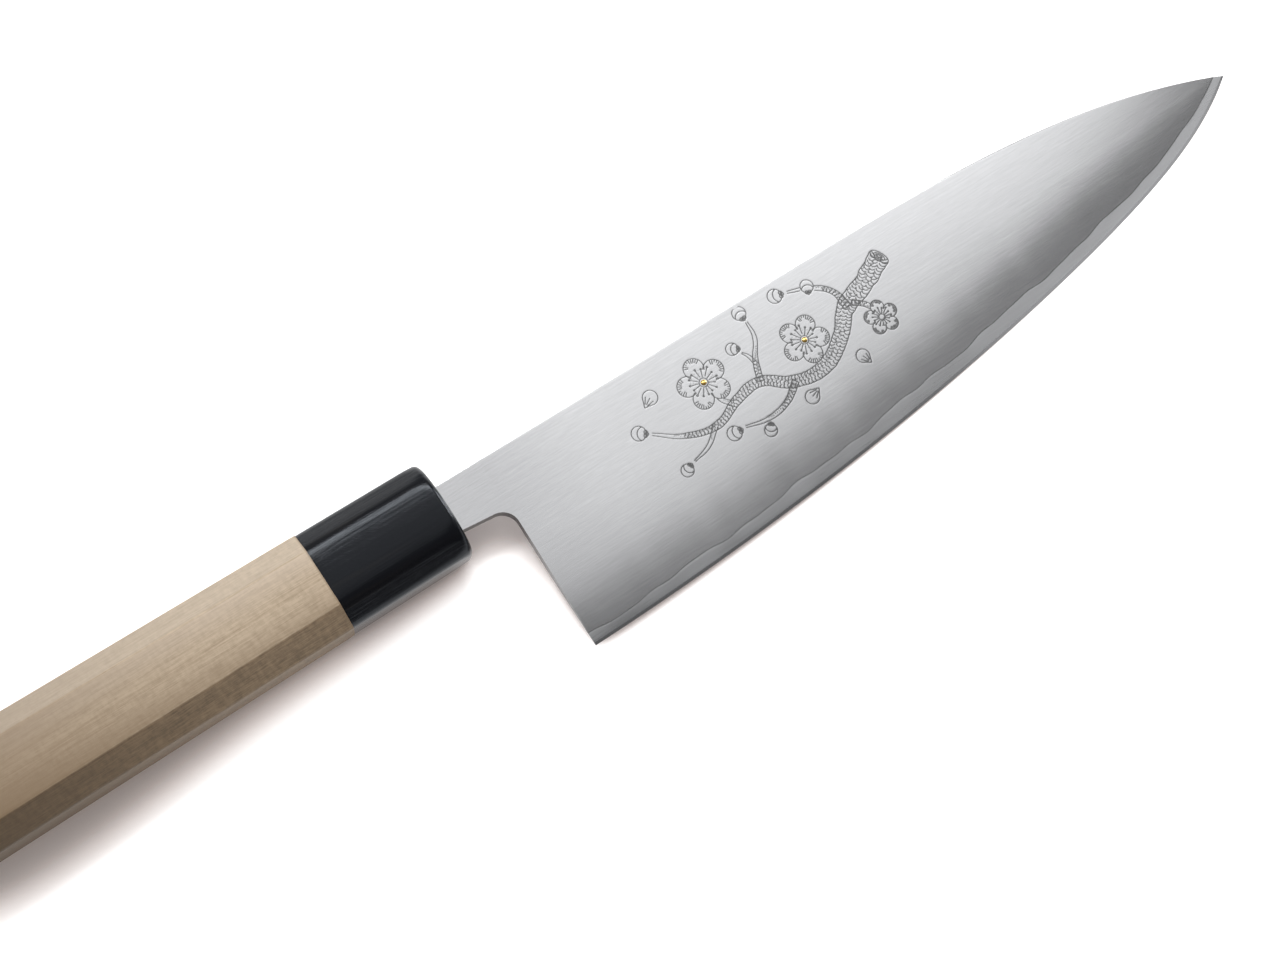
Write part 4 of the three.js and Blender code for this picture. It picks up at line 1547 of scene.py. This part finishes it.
class KNIFE_OT_handle(bpy.types.Operator):
    """Builds the octagonal wooden handle with its tenon and mortise"""

    bl_idname = "knife.handle"
    bl_label = "Wooden handle"

    def execute(self, context):
        looks = context.scene.knife_handle
        mortise = (MORTISE_END_X, TENON_FRONT_X + MOUTH_OVERRUN, TANG_HEIGHT + 2 * MORTISE_WALL,
                   2 * HEEL_HALF + 2 * MORTISE_WALL)
        tree = octagon_tree("octagonal handle", HANDLE_STATIONS, False, cuts=[mortise], adds=[TENON])
        mesh = octagon_mesh(tree, looks, wood_finish(looks), -HANDLE_LENGTH, -FERRULE_LENGTH,
                            Nose=looks.seam_ease, Chamfer=looks.butt_chamfer, Facet_crown=looks.facet_crown,
                            Ridge_ease=looks.wood_ease, Corner_ease=0.0)
        dress("handle_wood", mesh, ["handle_body"])
        return {"FINISHED"}


class KNIFE_OT_bedding(bpy.types.Operator):
    """Gives the resin bed of the tang and the wax seal of the mouth their finishes"""

    bl_idname = "knife.bedding"
    bl_label = "Bedding and seal"

    def execute(self, context):
        resin = putty_finish("bedding resin", (0.07, 0.05, 0.03), (0.16, 0.12, 0.08), 0.55)
        wax = putty_finish("sealing wax", (0.015, 0.013, 0.011), (0.05, 0.043, 0.036), 0.45)
        for node, material in (("tang_bedding", resin), ("mouth_seal", wax)):
            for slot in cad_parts[node].material_slots:
                slot.material = material
        return {"FINISHED"}


class KNIFE_OT_stage(bpy.types.Operator):
    """Sets the floor that the knife lies on, the studio light and the camera"""

    bl_idname = "knife.stage"
    bl_label = "Studio"

    def execute(self, context):
        scene = context.scene
        scene.view_settings.view_transform = "Standard"
        normal, touch = rest_plane(scene.knife_handle)
        lay_floor(normal, touch, scene.knife_stage)
        hang_light(scene)
        set_camera(scene)
        return {"FINISHED"}


def rest_plane(handle):
    """The plane that the knife lies on: its normal, and a point on it."""
    belly = np.array((REST_BELLY_X, edge_y(REST_BELLY_X) + CUTTING_BEVEL_WIDTH, -CUTTING_BEVEL_HALF))
    slope = (edge_y(REST_BELLY_X + 1) - edge_y(REST_BELLY_X - 1)) / 2
    ridge_y = handle.facet_rise - handle.front_height / 2
    ridge = np.array((-handle.nose_radius, ridge_y, -handle.front_width / 2)) / MM
    normal = np.cross((1.0, slope, 0.0), ridge - belly)
    normal = normal / np.linalg.norm(normal)
    return normal * np.sign(normal[2]), placed(belly)


def lay_floor(normal, touch, looks):
    """A wide plain floor with light of its own, shaded near the knife; it is see-through from below."""
    builder = bmesh.new()
    bmesh.ops.create_circle(builder, cap_ends=True, segments=FLOOR_SIDES, radius=FLOOR_RADIUS)
    turn = Vector((0, 0, 1)).rotation_difference(Vector(normal)).to_matrix().to_4x4()
    below = Vector(touch) - Vector(normal) * FLOOR_GAP
    bmesh.ops.transform(builder, matrix=Matrix.Translation(below) @ turn, verts=builder.verts)
    mesh = bpy.data.meshes.new("floor")
    builder.to_mesh(mesh)
    builder.free()
    if mesh.polygons[0].normal.z < 0:
        mesh.flip_normals()
    material = bpy.data.materials.new("floor")
    material.use_nodes = True
    tree = Tree(material.node_tree)
    tree.tree.nodes.clear()
    path = tree.add("ShaderNodeLightPath")
    seen = path.out("Is Camera Ray").most(path.out("Is Glossy Ray")).most(path.out("Is Transmission Ray"))
    lit = tree.add("ShaderNodeBsdfDiffuse", {}, {"Color": looks.floor_colour})
    surface = tree.add("ShaderNodeNewGeometry")
    x, _, _ = surface.out("Position").axes()
    reach = x.step(*frame_run(NEAR_SHADOW_RUN), 1.0, NEAR_SHADOW) * looks.shadow_reach
    sky = tree.add("ShaderNodeAmbientOcclusion", {"samples": SHADOW_SAMPLES}, {"Distance": reach}).out("AO")
    # Painted shade: the floor's shadow is deepened by position towards the butt
    raised = x.step(*frame_run(RAISED_RUN), 0.0, RAISED_SHADE)
    open_floor = (sky - raised).step(*SHADOW_BAND, SHADOW_LEAST, 1.0)
    tone = tree.mix(open_floor, looks.glow_colour, WHITE)
    strength = seen * open_floor * looks.floor_glow
    glow = tree.add("ShaderNodeEmission", {}, {"Color": tone, "Strength": strength})
    both = tree.add("ShaderNodeAddShader", {}, {0: lit, 1: glow})
    clear = tree.add("ShaderNodeBsdfTransparent")
    shader = tree.add("ShaderNodeMixShader", {}, {0: surface.out("Backfacing"), 1: both, 2: clear})
    tree.add("ShaderNodeOutputMaterial", {}, {"Surface": shader})
    mesh.materials.append(material)
    floor = new_object("floor", mesh)


def hang_panel(name, shape, middle, roll, size, level):
    """A flat softbox of even brightness that hangs level with a roll, or else faces the knife."""
    lamp = bpy.data.lights.new(name, "AREA")
    lamp.shape = shape
    lamp.size, lamp.size_y = size
    area = size[0] * size[1] * (math.pi / 4 if shape == "ELLIPSE" else 1.0)
    lamp.energy = level * math.pi * area
    panel = new_object(name, lamp)
    panel.visible_camera = False
    panel.location = Vector(ORIGIN) + Vector(middle)
    if roll is None:
        panel.rotation_euler = (-Vector(middle)).to_track_quat("-Z", "Y").to_euler()
    else:
        panel.rotation_euler = (0.0, 0.0, math.radians(roll))


def hang_light(scene):
    """The softboxes, in a room with a dim ceiling, paler walls and a white horizon."""
    looks = scene.knife_stage
    world = bpy.data.worlds.new("studio")
    world.use_nodes = True
    scene.world = world
    tree = Tree(world.node_tree)
    tree.tree.nodes.clear()
    _, towards_spine, height = tree.add("ShaderNodeTexCoord").out("Generated").axes()
    wall = towards_spine.step(*WALL_TURN, FAR_WALL * looks.wall_level, looks.wall_level)
    walls = wall + height.step(*HORIZON_BAND, 1.0, 0.0) * (looks.horizon_level - wall)
    level = walls + height.step(*CEILING_BAND) * (looks.ceiling_level - wall)
    background = tree.add("ShaderNodeBackground", {}, {"Color": WHITE, "Strength": level})
    tree.add("ShaderNodeOutputWorld", {}, {"Surface": background})
    for name, shape, middle, roll, size, share in SOFTBOXES:
        hang_panel(name, shape, middle, roll, size, share * looks.softbox_level)


def set_camera(scene):
    """The camera at the photo's viewing angle."""
    lens = bpy.data.cameras.new("camera")
    lens.lens = CAMERA_LENS
    lens.sensor_width = CAMERA_SENSOR
    lens.sensor_fit = "HORIZONTAL"
    lens.clip_start = CAMERA_NEAR
    camera = new_object("camera", lens)
    forward = Vector(CAMERA_FORWARD).normalized()
    right = forward.cross(Vector(CAMERA_UP)).normalized()
    up = right.cross(forward)
    turn = Matrix((right, up, -forward)).transposed().to_4x4()
    camera.matrix_world = Matrix.Translation(Vector(placed(CAMERA_PLACE))) @ turn
    scene.camera = camera


class KNIFE_PT_sidebar(bpy.types.Panel):
    """Lists the steps that build the knife"""

    bl_label = "Knife"
    bl_idname = "KNIFE_PT_sidebar"
    bl_space_type = "VIEW_3D"
    bl_region_type = "UI"
    bl_category = "Knife"

    def draw(self, context):
        for step in STEPS:
            self.layout.operator(step.bl_idname)
        for group in GROUPS:
            box = self.layout.box()
            settings = getattr(context.scene, group)
            for name in GROUPS[group].__annotations__:
                box.prop(settings, name)


STEPS = (KNIFE_OT_core, KNIFE_OT_pattern, KNIFE_OT_claddings, KNIFE_OT_studs, KNIFE_OT_ferrule,
         KNIFE_OT_handle, KNIFE_OT_bedding, KNIFE_OT_stage)
GROUPS = {"knife_blade": KnifeBladeLooks, "knife_handle": KnifeHandleLooks, "knife_stage": KnifeStageLooks}
CLASSES = (*GROUPS.values(), *STEPS, KNIFE_PT_sidebar)


def register():
    for item in CLASSES:
        bpy.utils.register_class(item)
    for name, group in GROUPS.items():
        setattr(bpy.types.Scene, name, bpy.props.PointerProperty(type=group))


def unregister():
    for name in GROUPS:
        delattr(bpy.types.Scene, name)
    for item in reversed(CLASSES):
        bpy.utils.unregister_class(item)


def main():
    register()
    for step in STEPS:
        group, name = step.bl_idname.split(".")
        getattr(getattr(bpy.ops, group), name)()
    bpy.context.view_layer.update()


if __name__ == "__main__":
    main()
